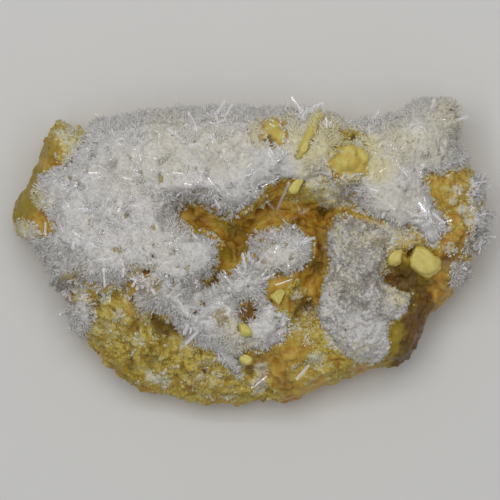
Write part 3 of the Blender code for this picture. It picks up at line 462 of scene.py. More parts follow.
class Amount:
    """A number that varies over a surface. Arithmetic on it adds Math nodes."""

    def __init__(self, look, socket):
        self.look = look
        self.socket = socket

    def maths(self, operation, first, second):
        return self.look.node("ShaderNodeMath", {"operation": operation}, {0: first, 1: second})

    def __add__(self, other):
        return self.maths("ADD", self, other)

    def __sub__(self, other):
        return self.maths("SUBTRACT", self, other)

    def __rsub__(self, other):
        return self.maths("SUBTRACT", other, self)

    def __mul__(self, other):
        return self.maths("MULTIPLY", self, other)

    def between(self, low, high):
        """0 below the low value, 1 above the high one, and smooth between them."""
        return self.look.node(
            "ShaderNodeMapRange",
            {"interpolation_type": "SMOOTHSTEP"},
            {"Value": self, "From Min": low, "From Max": high},
        )

    __radd__ = __add__
    __rmul__ = __mul__


class Look:
    """A material with one Principled shader, whose other nodes come from node()."""

    def __init__(self, name, **constants):
        self.material = bpy.data.materials.new(name)
        self.material.use_nodes = True
        self.tree = self.material.node_tree
        self.shader = self.tree.nodes["Principled BSDF"]
        self.place = self.node("ShaderNodeTexCoord", output="Object")
        for socket, value in constants.items():
            self.shader.inputs[socket.replace("_", " ")].default_value = value

    def node(self, kind, settings=None, inputs=None, output=0):
        made = self.tree.nodes.new(kind)
        for name, value in (settings or {}).items():
            setattr(made, name, value)
        for name, value in (inputs or {}).items():
            socket = self.input_of(made, name)
            if isinstance(value, Amount):
                self.tree.links.new(value.socket, socket)
            else:
                socket.default_value = value
        outputs = {socket.identifier: socket for socket in made.outputs}
        return Amount(self, outputs[output] if output in outputs else made.outputs[output])

    @staticmethod
    def input_of(made, name):
        known = {socket.identifier: socket for socket in made.inputs}
        return known[name] if name in known else made.inputs[name]

    def feed(self, name, value):
        """Links a varying value to the shader's socket of this name."""
        self.tree.links.new(value.socket, self.shader.inputs[name])

    def mask(self, name):
        return self.node("ShaderNodeAttribute", {"attribute_name": name}, output="Fac")

    def grain(self, size, detail, seed=0.0):
        """Noise from 0 to 1 with features of this size in mm."""
        return self.node(
            "ShaderNodeTexNoise",
            {"noise_dimensions": "4D"},
            {"Vector": self.place, "W": seed, "Scale": 1 / (size * MM), "Detail": detail, "Roughness": 0.55},
        )

    def mix(self, first, second, share):
        """One colour turning into another."""
        return self.node(
            "ShaderNodeMix",
            {"data_type": "RGBA"},
            {"Factor_Float": share, "A_Color": rgba(first), "B_Color": rgba(second)},
            "Result_Color",
        )

    def bump(self, height, depth, strength=1.0):
        """Relief of this depth in mm on the shader's normal."""
        inputs = {"Height": height, "Distance": depth * MM, "Strength": strength}
        self.feed("Normal", self.node("ShaderNodeBump", None, inputs))


def rgba(colour):
    """A plain colour with its alpha. A varying one stays as it is."""
    return colour if isinstance(colour, Amount) else (*colour, 1.0)


class SulfurColours(bpy.types.PropertyGroup):
    """Colours of the sulfur, the crusts and the prisms."""

    amber: bpy.props.FloatVectorProperty(
        name="Amber", description="Clean sulfur in the hollows", subtype="COLOR", default=(0.46, 0.22, 0.022))
    # Honey is partly painted highlight, the lit copy of the amber on raised ridges, and partly a real tone on
    # the lemon crystals.
    honey_and_highlight: bpy.props.FloatVectorProperty(
        name="Honey", description="Lit ridges of amber sulfur", subtype="COLOR", default=(0.62, 0.42, 0.07))
    lemon: bpy.props.FloatVectorProperty(
        name="Lemon", description="Granular yellow sulfur", subtype="COLOR", default=(0.64, 0.495, 0.085))
    shade: bpy.props.FloatVectorProperty(
        name="Shade", description="Hollows between the yellow grains", subtype="COLOR",
        default=(0.27, 0.165, 0.012))
    pale: bpy.props.FloatVectorProperty(
        name="Pale", description="Palest yellow grains", subtype="COLOR", default=(0.82, 0.76, 0.40))
    olive: bpy.props.FloatVectorProperty(
        name="Olive", description="Sulfur with a green cast", subtype="COLOR", default=(0.37, 0.265, 0.018))
    # Brown is partly a real bituminous colour and partly painted shade in cracks, hollows and the middles of
    # the crust's gaps.
    brown_and_shade: bpy.props.FloatVectorProperty(
        name="Brown", description="Deep cracks and bituminous faces", subtype="COLOR",
        default=(0.12, 0.055, 0.012))
    gold: bpy.props.FloatVectorProperty(
        name="Gold", description="Golden crystal faces of the lump", subtype="COLOR",
        default=(0.70, 0.52, 0.11))
    frost: bpy.props.FloatVectorProperty(
        name="Frost", description="White grains dusted over the sulfur", subtype="COLOR",
        default=(0.80, 0.77, 0.62))
    white: bpy.props.FloatVectorProperty(
        name="White", description="Needle crust", subtype="COLOR", default=(0.81, 0.79, 0.768))
    yellowed: bpy.props.FloatVectorProperty(
        name="Yellowed", description="Crust tinted by sulfur", subtype="COLOR", default=(0.84, 0.75, 0.40))
    # Smoky is partly a real glassy dark crust and partly painted shade over shadowed clear prisms and low
    # places.
    smoky_and_shade: bpy.props.FloatVectorProperty(
        name="Smoky", description="Glassy dark crust", subtype="COLOR", default=(0.36, 0.33, 0.28))
    grey: bpy.props.FloatVectorProperty(
        name="Grey", description="Granular crust", subtype="COLOR", default=(0.76, 0.74, 0.72))
    crystal: bpy.props.FloatVectorProperty(
        name="Crystal", description="Lemon-yellow sulfur crystals", subtype="COLOR",
        default=(0.75, 0.65, 0.18))


class SulfurNeedles(bpy.types.PropertyGroup):
    """Sizes of the needles and prisms."""

    spacing: bpy.props.FloatProperty(
        name="Spacing", description="Distance between needles", unit="LENGTH", default=0.00033)
    length: bpy.props.FloatProperty(
        name="Length", description="Length of a common needle", unit="LENGTH", default=0.00032)
    radius: bpy.props.FloatProperty(
        name="Radius", description="Radius of a common needle", unit="LENGTH", default=0.00020)
    bed: bpy.props.FloatProperty(
        name="Bed depth", description="Depth of the crust's bed under its needle tips", unit="LENGTH",
        default=0.0008)


class SulfurStage(bpy.types.PropertyGroup):
    """Lights and floor."""

    key: bpy.props.FloatProperty(name="Key light", description="Power", unit="POWER", default=1.28)
    strip: bpy.props.FloatProperty(
        name="Strip lights", description="Power of each", unit="POWER", default=0.32)
    sky: bpy.props.FloatProperty(name="Sky", description="Strength of the light from all round", default=0.31)
    floor: bpy.props.FloatVectorProperty(
        name="Floor", description="Colour of the floor", subtype="COLOR", default=(0.80, 0.80, 0.79))


def sulfur_look(colours):
    """Waxy amber sulfur turning honey, lemon, olive or brown under grains, with painted highlight on ridges
    and painted shade in hollows.
    """
    look = Look(
        "amber sulfur", IOR=1.6, Subsurface_Weight=0.25,
        Subsurface_Scale=0.0018, Subsurface_Radius=(0.9, 0.60, 0.15), Specular_IOR_Level=0.32,
    )
    broad = look.grain(5.0, 4.0, seed=1.0)
    fine = look.grain(1.0, 4.0, seed=2.0)
    speck = look.grain(0.45, 3.0, seed=3.0)
    # Painted highlight: the amber turns honey on the raised ridges, as well as at random through the noise.
    light = (broad * 1.1 + fine * 0.7 + look.mask("ridge") * 0.35).between(0.80, 1.30)
    colour = look.mix(colours.amber, colours.honey_and_highlight, light)
    olive = (look.mask("olive") + (fine - 0.5) * 0.7).between(0.25, 0.75)
    colour = look.mix(colour, colours.olive, olive)
    patches = look.grain(2.4, 3.0, seed=11.0)
    lemon = (look.mask("lemon") + (fine - 0.5) * 0.9 + (patches - 0.5) * 1.8).between(0.30, 0.75)
    mottled = look.mix(colours.shade, colours.lemon, (patches * 0.6 + fine * 0.4).between(0.40, 0.54))
    mottled = look.mix(mottled, colours.pale, (patches * 0.35 + fine * 0.65).between(0.52, 0.64) * 0.85)
    colour = look.mix(colour, mottled, lemon * 0.95)
    colour = look.mix(colour, colours.olive, lemon * speck.between(0.55, 0.66) * 0.5)
    gold = (look.mask("gold") + (fine - 0.5) * 0.7 + (speck - 0.5) * 0.3).between(0.25, 0.6)
    golden = look.mix(colours.gold, colours.crystal, patches.between(0.45, 0.65))
    colour = look.mix(colour, golden, gold)
    # Painted shade: the hollows between the ridges darken towards brown, as well as the brown spots.
    brown_and_shade = (look.mask("brown_and_shade") + (fine - 0.5) * 0.9 + look.mask("hollow_shade") * 0.45).between(0.30, 0.90)
    # Brown here is partly real colour and partly painted shade.
    colour = look.mix(colour, colours.brown_and_shade, brown_and_shade * 0.85)
    frost = (look.mask("frost") + (speck - 0.5) * 1.6 + (broad - 0.5) * 0.9).between(0.45, 0.70)
    colour = look.mix(colour, colours.frost, frost * 0.75)
    look.feed("Base Color", colour)
    look.feed("Roughness", lemon * 0.20 + frost * 0.15 + fine * 0.20 + 0.22)
    look.bump(fine * 0.6 + speck * 0.5, 0.35)
    return look.material


def grain_look(colours):
    """Loose sulfur grains, from olive yellow to nearly white."""
    look = Look(
        "sulfur grains", IOR=1.6, Subsurface_Weight=0.2, Subsurface_Scale=0.001,
        Subsurface_Radius=(1.0, 0.7, 0.2), Specular_IOR_Level=0.4,
    )
    colour = look.mix(colours.olive, colours.lemon, look.mask("tone").between(0.0, 0.45))
    colour = look.mix(colour, colours.frost, look.mask("pale").between(0.2, 0.9))
    look.feed("Base Color", colour)
    look.feed("Roughness", look.mask("tone") * 0.25 + 0.3)
    return look.material


def needle_look(name, colours, base, roughness):
    """Sugary white needles, tinted by the sulfur under them."""
    look = Look(
        name, IOR=1.55, Subsurface_Weight=0.2, Subsurface_Scale=0.0005, Subsurface_Radius=(1.0, 0.95, 0.9),
        Specular_IOR_Level=0.4,
    )
    tone = look.grain(3.0, 3.0, seed=4.0)
    dim = [part * 0.86 for part in base]
    colour = look.mix(base, dim, (1 - look.mask("tone")).between(0.1, 1.0))
    colour = look.mix(colour, colours.white, look.mask("pale"))
    colour = look.mix(colour, colours.yellowed, (look.mask("yellowed") + (tone - 0.55) * 0.35) * 0.9)
    # Darker where smoky: partly a real glassy tone, partly painted shade.
    smoky_and_shade = (look.mask("smoky_and_shade") - look.mask("tone") * 0.5).between(0.05, 0.6) * 0.8
    colour = look.mix(colour, colours.smoky_and_shade, smoky_and_shade)
    look.feed("Base Color", colour)
    look.feed("Roughness", look.mask("tone") * 0.25 + roughness)
    return look.material


def bed_look(name, colours, base):
    """The grown-together ground of a crust, between its needles."""
    look = Look(
        name, IOR=1.55, Subsurface_Weight=0.3, Subsurface_Scale=0.0006, Subsurface_Radius=(1.0, 0.95, 0.9),
        Specular_IOR_Level=0.3,
    )
    tone = look.grain(0.8, 3.0, seed=5.0)
    speck = look.grain(0.5, 2.0, seed=6.0)
    colour = look.mix(base, colours.yellowed, look.mask("yellowed") + (tone - 0.5) * 0.3)
    # Painted shade: the bed's low places and chinks, carried in this mark, turn olive.
    smoky_and_shade = (look.mask("smoky_and_shade") + (speck - 0.5) * 1.6).between(0.45, 0.75) * 0.85
    colour = look.mix(colour, colours.olive, smoky_and_shade)
    colour = look.mix(colour, colours.amber, look.mask("pit").between(0.2, 0.7))
    # Painted shade: the deepest middle of each gap turns brown over the amber.
    colour = look.mix(colour, colours.brown_and_shade, look.mask("pit").between(0.5, 1.0) * 0.6)
    look.feed("Base Color", colour)
    look.feed("Roughness", tone * 0.3 + 0.4)
    look.bump(tone + speck, 0.2)
    return look.material


def prism_look():
    """Water-clear prisms with a faint milky body and a little absorption."""
    look = Look(
        "clear prism", IOR=1.5, Transmission_Weight=0.62, Roughness=0.06, Base_Color=(0.94, 0.93, 0.96, 1),
    )
    tint = {"Color": (0.86, 0.87, 0.92, 1), "Density": 15.0}
    body = look.node("ShaderNodeVolumeAbsorption", None, tint, "Volume")
    end = next(node for node in look.tree.nodes if node.type == "OUTPUT_MATERIAL")
    look.tree.links.new(body.socket, end.inputs["Volume"])
    look.bump(look.grain(0.6, 2.0, seed=7.0), 0.01, 0.3)
    return look.material


def crystal_look(colours):
    """Lemon sulfur crystals: satin faces over a translucent yellow body."""
    look = Look(
        "lemon sulfur crystal", IOR=1.7, Subsurface_Weight=0.30, Subsurface_Scale=0.0025,
        Subsurface_Radius=(1.0, 0.8, 0.2), Specular_IOR_Level=0.35,
    )
    broad = look.grain(2.6, 3.0, seed=8.0)
    fine = look.grain(0.6, 4.0, seed=9.0)
    colour = look.mix(colours.crystal, colours.honey_and_highlight, broad.between(0.42, 0.75) * 0.45)
    colour = look.mix(colour, colours.frost, (fine * 0.6 + broad * 0.4).between(0.52, 0.66) * 0.25)
    look.feed("Base Color", colour)
    look.feed("Roughness", fine * 0.3 + 0.25)
    look.bump(fine * 0.5 + broad, 0.25)
    return look.material


class SULFUR_OT_lump(bpy.types.Operator):
    """Breaks up the amber sulfur into ridges, hollows and granular patches"""

    bl_idname = "sulfur.lump"
    bl_label = "Sulfur lump"

    def execute(self, context):
        points, faces = arrays(frame["nodes"]["sulfur_lump"])
        lump = new_piece("sulfur_body", points, faces)
        remesh(lump, LUMP_FACES, 3)
        points, _ = corners(lump)
        beside = gaps_to(ALL_CRUSTS, points, 2.0)[0]
        thin_out(lump, (beside < -0.7) | (points[:, 2] < 0.3))
        points, facing = corners(lump)
        beside = gaps_to(ALL_CRUSTS, points, 2.0)[0]
        top = np.clip(points[:, 2] / 3.0, 0, 1)
        brown_and_shade = reach(points, BROWN_AND_SHADE)
        broad = rough(points, 5.5, 1)
        lemon, frost = granular_marks(points, broad)
        fine = rough(points, 1.7, 2)
        grains = crumbs(points, 1.3, 3)
        big_grains = crumbs(points, 2.9, 5)
        gold = reach(points, GOLD)
        broken = chipped(points, 3.4, 6)
        ridges = 1 - np.abs(rough(points, 3.6, 4, 2)) * 2.2
        lift = 0.45 * broad + 0.25 * fine + 0.30 * ridges * (1 - 0.6 * lemon) - 0.15
        lift += 0.5 * broken * (1 - 0.5 * lemon) + 1.3 * gold * chipped(points, 2.0, 7)
        swells = rough(points, 3.0, 8, 2)
        lift += lemon * (0.8 * swells - 0.5 * brown_and_shade) + 0.5 * np.clip(1 - beside / 1.5, 0, 1)
        granular = np.maximum(lemon, frost)
        lift += (0.15 + 0.55 * granular) * (grains - 0.5) + 0.65 * granular * (big_grains - 0.5)
        lift += 0.35 * gold + 1.1 * reach(points, FILLS)
        striped = np.sin((points[:, 0] * 0.8 - points[:, 1] * 0.25 + 0.8 * broad) * 5.0)
        lift += 0.22 * striped * np.clip(brown_and_shade * (points[:, 0] > 25), 0, 1)
        lift += 0.8 * reach(points, LEFT_SWELL)
        gaps = gaps_to(CRYSTALS, points, 1.6)[0]
        lift = np.where(gaps < 1.6, np.minimum(lift, np.clip(gaps - 0.6, -1.2, 0.3)), lift)
        put_corners(lump, pressed(snug(points + facing * (lift * top)[:, None])))
        mark(lump, "lemon", lemon)
        mark(lump, "frost", frost)
        # Painted shade: brown in the low valleys between the lemon swells, as well as the brown spots.
        mark(lump, "brown_and_shade", np.maximum(brown_and_shade, 0.75 * lemon * np.clip(-2.2 * swells - 0.25, 0, 1)))
        mark(lump, "olive", reach(points, OLIVE))
        mark(lump, "gold", np.maximum(gold, reach(points, GILDED)))
        # Ridges carry a painted highlight: the sulfur's shader turns them honey.
        mark(lump, "ridge", np.clip(ridges, 0, 1))
        # Painted shade in the hollows between the ridges, which the shader turns brown.
        mark(lump, "hollow_shade", np.clip(-ridges - broad * 0.5, 0, 1))
        lump.data.materials.append(sulfur_look(context.scene.sulfur_colours))
        lump.data.shade_smooth()
        settle(lump, "amber_sulfur", "sulfur_lump")
        return {"FINISHED"}


class SULFUR_OT_grains(bpy.types.Operator):
    """Sprinkles loose yellow and white grains over the granular parts of the lump"""

    bl_idname = "sulfur.grains"
    bl_label = "Sulfur grains"

    def execute(self, context):
        chance = np.random.default_rng(10)
        lump = bpy.data.objects["sulfur_body"]
        places, ways = places_on(chance, lump, LOOSE_GRAINS)
        beside = gaps_to(ALL_CRUSTS, places, 2.2)[0]
        patchy = rough(places, 2.6, 31)
        lemon, frost = granular_marks(places, patchy)
        wanted = np.maximum(frost * 0.9, lemon * 0.50) + 0.75 * patchy * (lemon + frost > 0.3)
        fringe = np.clip(1 - beside / 1.8, 0, 1) * (beside > 0)
        wanted += 0.75 * fringe - 0.7 * reach(places, BROWN_AND_SHADE)
        kept = (wanted > chance.random(len(places)) * 0.9 + 0.15) & (ways[:, 2] > -0.2) & (places[:, 2] > 1.0)
        kept &= beside > 0.0
        kept &= (gaps_to(CRYSTALS, places, 1.0)[0] > 0.3) & (reach(places, GOLD) < 0.5)
        places, ways, frost, patchy, fringe = (
            values[kept] for values in (places, ways, frost, patchy, fringe)
        )
        count = len(places)
        heading = unit(ways + chance.normal(0, 0.6, places.shape))
        marks = {
            "tone": chance.normal(0.5, 0.3, count),
            "pale": frost * 0.7 + 0.9 * fringe + chance.normal(0.0, 0.20, count) + 0.9 * patchy,
        }
        radii = chance.uniform(0.20, 0.46, count) * (1.1 - 0.3 * frost)
        shape = (
            places - heading * 0.22, heading, radii * chance.uniform(1.4, 2.2, count), radii, 4,
            chance.random(count) * TURN, 0, 0,
        )
        look = grain_look(context.scene.sulfur_colours)
        add_prisms("sulfur_grains", look, "lemon_sulfur", marks, shape, ways, 0.35)
        return {"FINISHED"}


def prism_tips(points, faces):
    """The tip, direction and radius of each prism that is joined to a crust's mesh."""
    around = {}
    for a, b, c in faces.tolist():
        around.setdefault(a, set()).update((b, c))
        around.setdefault(b, set()).update((a, c))
        around.setdefault(c, set()).update((a, b))
    found = []
    for corner, ring in around.items():
        if len(ring) != 6:
            continue
        spots = points[list(ring)]
        middle = spots.mean(axis=0)
        radii = np.linalg.norm(spots - middle, axis=1)
        point = points[corner] - middle
        height = np.linalg.norm(point)
        if 0.2 < radii.mean() < 0.75 and np.ptp(radii) < 0.12 * radii.mean() and height > 0.6 * radii.mean():
            found.append((points[corner], point / height, radii.mean()))
    return found


def unit(vectors):
    return vectors / np.maximum(np.linalg.norm(vectors, axis=1), 1e-9)[:, None]


def prism_shapes(feet, ways, lengths, radii, sides, turns, point, taper):
    """Corners and triangles of many closed prisms with pointed tips, in mm. No point means plain spikes."""
    count = len(feet)
    ways = unit(ways)
    helper = np.where(np.abs(ways[:, 2:3]) < 0.9, (0.0, 0.0, 1.0), (1.0, 0.0, 0.0))
    across = unit(np.cross(ways, helper))
    along = np.cross(ways, across)
    angles = turns[:, None] + np.arange(sides) * 2 * math.pi / sides
    ring = across[:, None, :] * np.cos(angles)[:, :, None] - along[:, None, :] * np.sin(angles)[:, :, None]
    low = feet[:, None, :] + ring * radii[:, None, None]
    tip = (feet + ways * lengths[:, None])[:, None, :]
    layers = [low, tip]
    if point:
        tip_height = np.minimum(radii * point, lengths * 0.4)
        shoulder = feet + ways * (lengths - tip_height)[:, None]
        layers.insert(1, shoulder[:, None, :] + ring * (radii * taper)[:, None, None])
    shape = np.concatenate(layers, axis=1)
    rings = sides * (len(layers) - 1)
    faces = []
    for i in range(sides):
        j = (i + 1) % sides
        if point:
            faces += [(i, sides + j, j), (i, sides + i, sides + j)]
        faces.append((rings - sides + i, rings, rings - sides + j))
        if 0 < i < sides - 1:
            faces.append((0, i, j))
    faces = np.array(faces)
    first = np.arange(count) * (rings + 1)
    return shape.reshape(-1, 3), (first[:, None, None] + faces[None]).reshape(-1, 3)


def soften_normals(piece, ground, softness):
    """Leans the shading of thin needles towards that of the ground they stand on."""
    _, facing = corners(piece)
    mixed = unit(facing * (1 - softness) + ground * softness)
    piece.data.shade_smooth()
    piece.data.normals_split_custom_set_from_vertices(mixed.tolist())


def add_prisms(name, look, slot, marks, shape_of, ground=None, softness=0.0):
    """Pieces of at most MOST_TRIANGLES that together hold the prisms."""
    feet, ways, lengths, radii, sides, turns, point, taper = shape_of
    each = (4 if point else 2) * sides - 2
    low, high = np.array(cad_box) / MM
    made = []
    pieces = math.ceil(len(feet) * each / MOST_TRIANGLES)
    for number, part in enumerate(np.array_split(np.arange(len(feet)), pieces)):
        points, faces = prism_shapes(
            feet[part], ways[part], lengths[part], radii[part], sides, turns[part], point, taper
        )
        points = np.clip(points, low + (0, 0, 0.05), high)
        piece = new_piece(f"{name}_{number + 1}", points * MM, faces, look)
        corners_each = len(points) // len(part)
        for label, values in marks.items():
            mark(piece, label, np.repeat(values[part], corners_each))
        if softness:
            soften_normals(piece, np.repeat(ground[part], corners_each, axis=0), softness)
        settle(piece, slot)
        made.append(piece)
    return made


def pit_depth(points):
    """1 in the middle of each gap of the crust and 0 outside them all, at points in mm."""
    found = np.zeros(len(points))
    for x, y, radius in PITS:
        away = np.hypot(points[:, 0] - x, points[:, 1] - y) / (radius * 1.2)
        near = np.flatnonzero(away < 2)
        flat = points[near] * (1, 1, 0) + (0, 0, x)
        depth = 1.5 - 1.5 * (away[near] + 0.55 * rough(flat, 1.1, 41, 2))
        found[near] = np.maximum(found[near], np.clip(depth, 0, 1))
    return found


def chink_depth(points):
    """1 in the narrow chinks between the crust's rosettes and 0 elsewhere, at points in mm."""
    return np.clip((-rough(points, 2.1, 51, 3) - 0.37) * 4, 0, 1)


def faces_ground(points, facing, tree):
    """Which corners, in mm, lie close over the sulfur and face it."""
    found = np.zeros(len(points), bool)
    for i, (point, way) in enumerate(zip(points.tolist(), facing.tolist())):
        away = Vector(point) - tree.find_nearest(Vector(point))[0]
        found[i] = away.length < 0.9 and away.dot(Vector(way)) < -0.2 * away.length
    return found


def make_bed(name, node, voxel, depth, relief, look, slot):
    """A crust's ground: its CAD solid without the prisms, lowered and roughened."""
    points, faces = arrays(frame["nodes"][node])
    bed = new_piece(name, points, faces)
    remesh(bed, voxel, 7)
    remesh(bed, voxel, 4)
    points, facing = corners(bed)
    tree = surface_of(frame["nodes"]["sulfur_lump"])
    thin_out(bed, faces_ground(points, facing, tree))
    points, facing = corners(bed)
    if node == "needle_crust":
        stub = np.linalg.norm(points - BACK_STUB, axis=1) < STUB_REACH
        points[stub, 1] = np.minimum(points[stub, 1], BACK_LEVEL)
    lumps = rough(points, 2.4, 11)
    grains = crumbs(points, 0.95, 12)
    pits = pit_depth(points)
    chinks = chink_depth(points)
    lift = relief * (0.8 * lumps + 0.6 * (grains - 0.5)) - depth + 0.35 - pits * 2.6 - 0.7 * chinks
    low = float(node.startswith("right_"))
    if node == "needle_crust":
        low = np.clip((RAGGED_BELOW - points[:, 2]) / 4, 0, 1)
    lift -= 1.9 * low * np.clip((rough(points, 3.2, 61) - 0.02) * 3, 0, 1)
    lift = np.where(faces_ground(points, facing, tree), 0.35, lift)
    put_corners(bed, pressed(snug(points + facing * lift[:, None])))
    mark(bed, "yellowed", reach(points, YELLOWED))
    # Painted shade: the low places of the bed and the chinks between rosettes are added to the smoky spots.
    mark(bed, "smoky_and_shade", reach(points, SMOKY_AND_SHADE) + np.clip(-lumps * 0.4, 0, 0.3) + 0.8 * chinks)
    mark(bed, "pit", pits)
    bed.data.materials.append(look)
    bed.data.shade_smooth()
    settle(bed, slot, node)
    return bed


def places_on(chance, piece, spacing):
    """Random places on a piece, about this far apart, with the smooth normal at each."""
    points, facing = corners(piece)
    faces = triangles(piece.data)
    corner = points[faces]
    area = np.linalg.norm(np.cross(corner[:, 1] - corner[:, 0], corner[:, 2] - corner[:, 0]), axis=1) / 2
    count = int(area.sum() / spacing**2)
    chosen = chance.choice(len(faces), count, p=area / area.sum())
    u = chance.random(count)
    v = chance.random(count)
    over = u + v > 1
    u[over] = 1 - u[over]
    v[over] = 1 - v[over]
    share = np.stack([1 - u - v, u, v], 1)[:, :, None]
    return (corner[chosen] * share).sum(axis=1), unit((facing[faces[chosen]] * share).sum(axis=1))


def outward(places, ways, lump_tree):
    """Keeps the places on the side of a bed that faces away from the sulfur."""
    kept = []
    for i, (place, way) in enumerate(zip(places.tolist(), ways.tolist())):
        nearest, upward, *_ = lump_tree.find_nearest(Vector(place))
        away = Vector(place) - nearest
        if away.dot(upward) > 0 and away.length > 0.06 and away.normalized().dot(Vector(way)) > -0.35:
            kept.append(i)
    return places[kept], ways[kept]


def fans(chance, places, ways, each, spread):
    """Feet and directions of small fans of needles that share one middle."""
    owner = np.repeat(np.arange(len(places)), each)
    count = len(owner)
    wander = unit(chance.normal(0, 1, (count, 3)))
    heading = unit(ways[owner] + spread * wander)
    feet = places[owner] + chance.normal(0, 0.12, (count, 3)) - ways[owner] * 0.35
    return feet, heading, owner


class SULFUR_OT_needle_crust(bpy.types.Operator):
    """Grows the white grains and fans of needles from the crusts' beds"""

    bl_idname = "sulfur.needle_crust"
    bl_label = "Needle crust"

    def execute(self, context):
        colours = context.scene.sulfur_colours
        sizes = context.scene.sulfur_needles
        chance = np.random.default_rng(7)
        lump_tree = surface_of(frame["nodes"]["sulfur_lump"])
        ground = bed_look("crust ground", colours, colours.white)
        look = needle_look("white needles", colours, colours.white, 0.3)
        grown = []
        for node, voxel in CRUSTS:
            bed = make_bed(node + "_bed", node, voxel, sizes.bed / MM, 0.45, ground, "needle_crust")
            grown.append(outward(*places_on(chance, bed, sizes.spacing / MM), lump_tree))
        places = np.concatenate([pair[0] for pair in grown])
        ways = np.concatenate([pair[1] for pair in grown])
        open_sulfur = pit_depth(places)
        smoky_and_shade = reach(places, SMOKY_AND_SHADE)
        bare = np.maximum(np.maximum(open_sulfur * 1.6, smoky_and_shade * 0.55), chink_depth(places) * 0.8)
        kept = (chance.random(len(places)) > bare) & (gaps_to(CRYSTALS, places, 1.0)[0] > -0.1)
        places, ways = places[kept], ways[kept]

        count = len(places)
        heading = unit(ways + chance.normal(0, 0.8, places.shape))
        radii = sizes.radius / MM * np.exp(chance.normal(0, 0.25, count))
        lengths = 0.30 + sizes.length / MM * np.exp(chance.normal(0, 0.4, count))
        self.add(
            "crust_grains", look, chance, ways,
            (places - heading * 0.30, heading, lengths, radii, 3, chance.random(count) * TURN, 0, 0), 0.6,
        )

        edge = ways[:, 2] < 0.75
        chosen = chance.random(count) < np.where(edge, 0.032, 0.006)
        owner_places, owner_ways = places[chosen], ways[chosen]
        feet, heading, owner = fans(chance, owner_places, owner_ways, FAN_NEEDLES, 0.85)
        count = len(feet)
        lengths = chance.uniform(1.1, 2.1, count)
        climb = np.maximum((heading * owner_ways[owner]).sum(axis=1), 0.1)
        lengths = np.minimum(lengths, (sizes.bed / MM + 0.5) / climb + 0.35)
        lengths = np.where(gaps_to(CRYSTALS, feet, 2.0)[0] < 1.2, np.minimum(lengths, 0.8), lengths)
        radii = chance.uniform(0.12, 0.23, count)
        self.add(
            "white_needles", look, chance, owner_ways[owner],
            (feet, heading, lengths, radii, 4, chance.random(count) * TURN, 2.0, 0.8), 0.4,
        )
        return {"FINISHED"}

    def add(self, name, look, chance, ground, shape, softness):
        feet = shape[0]
        marks = {
            "yellowed": reach(feet, YELLOWED), "smoky_and_shade": reach(feet, SMOKY_AND_SHADE),
            "tone": chance.normal(0.5, 0.25, len(feet)),
        }
        add_prisms(name, look, "needle_crust", marks, shape, ground, softness)


class SULFUR_OT_grey_crust(bpy.types.Operator):
    """Covers the grey crust with short grains"""

    bl_idname = "sulfur.grey_crust"
    bl_label = "Grey granular crust"

    def execute(self, context):
        colours = context.scene.sulfur_colours
        chance = np.random.default_rng(8)
        lump_tree = surface_of(frame["nodes"]["sulfur_lump"])
        bed = make_bed(
            "grey_crust_bed", "grey_crust", GREY_FACES, 0.5, 1.0,
            bed_look("grey crust ground", colours, colours.grey), "grey_crust",
        )
        places, ways = outward(*places_on(chance, bed, GREY_GRAINS), lump_tree)
        whitest = reach(places, WHITEST)
        thin = np.clip((-rough(places, 1.2, 33, 2) - 0.15) * 4, 0, 1) * (1 - 0.6 * whitest)
        kept = chance.random(len(places)) > thin * 0.85
        places, ways, whitest = places[kept], ways[kept], whitest[kept]
        count = len(places)
        heading = unit(ways + chance.normal(0, 0.8, places.shape))
        patchy = rough(places, 1.6, 34)
        murky = 1.3 * rough(places, 3.6, 35) + reach(places, MURKY)
        yellowed = reach(places, YELLOWED) * np.clip(0.4 + 1.5 * patchy, 0, 1.2) + 0.4 * np.clip(patchy, 0, 1)
        smoky_and_shade = chance.normal(0.1, 0.3, count) + 0.9 * murky + reach(places, SMOKY_AND_SHADE) - whitest
        marks = {
            "yellowed": yellowed,
            "smoky_and_shade": np.clip(smoky_and_shade, 0, 1),
            "tone": chance.normal(0.45, 0.3, count),
            "pale": whitest * 0.9,
        }
        shape = (
            places - heading * 0.2, heading, chance.uniform(0.5, 1.0, count),
            chance.uniform(0.18, 0.38, count), 4, chance.random(count) * TURN, 0, 0,
        )
        look = needle_look("grey grains", colours, colours.grey, 0.35)
        add_prisms("grey_grains", look, "grey_crust", marks, shape, ways, 0.4)
        return {"FINISHED"}


def shining_turns(ways):
    """Turns of prisms about their own ways, so that one face of each mirrors a strip light upwards."""
    strips = []
    for x, y, z, half_x, half_y in STRIPS:
        along = np.linspace(-1, 1, 41)
        spot = np.stack([x + along * half_x, y + along * half_y, np.full(41, z)], 1)
        strips.append(unit(unit(spot) + (0, 0, 1)))
    halves = np.concatenate(strips)
    found = []
    for way in unit(ways):
        helper = (0.0, 0.0, 1.0) if abs(way[2]) < 0.9 else (1.0, 0.0, 0.0)
        across = np.cross(way, helper)
        across /= np.linalg.norm(across)
        along = np.cross(way, across)
        best = halves[np.argmin(np.abs(halves @ way))]
        found.append(math.atan2(-(best @ along), best @ across) - math.pi / 6)
    return np.array(found)


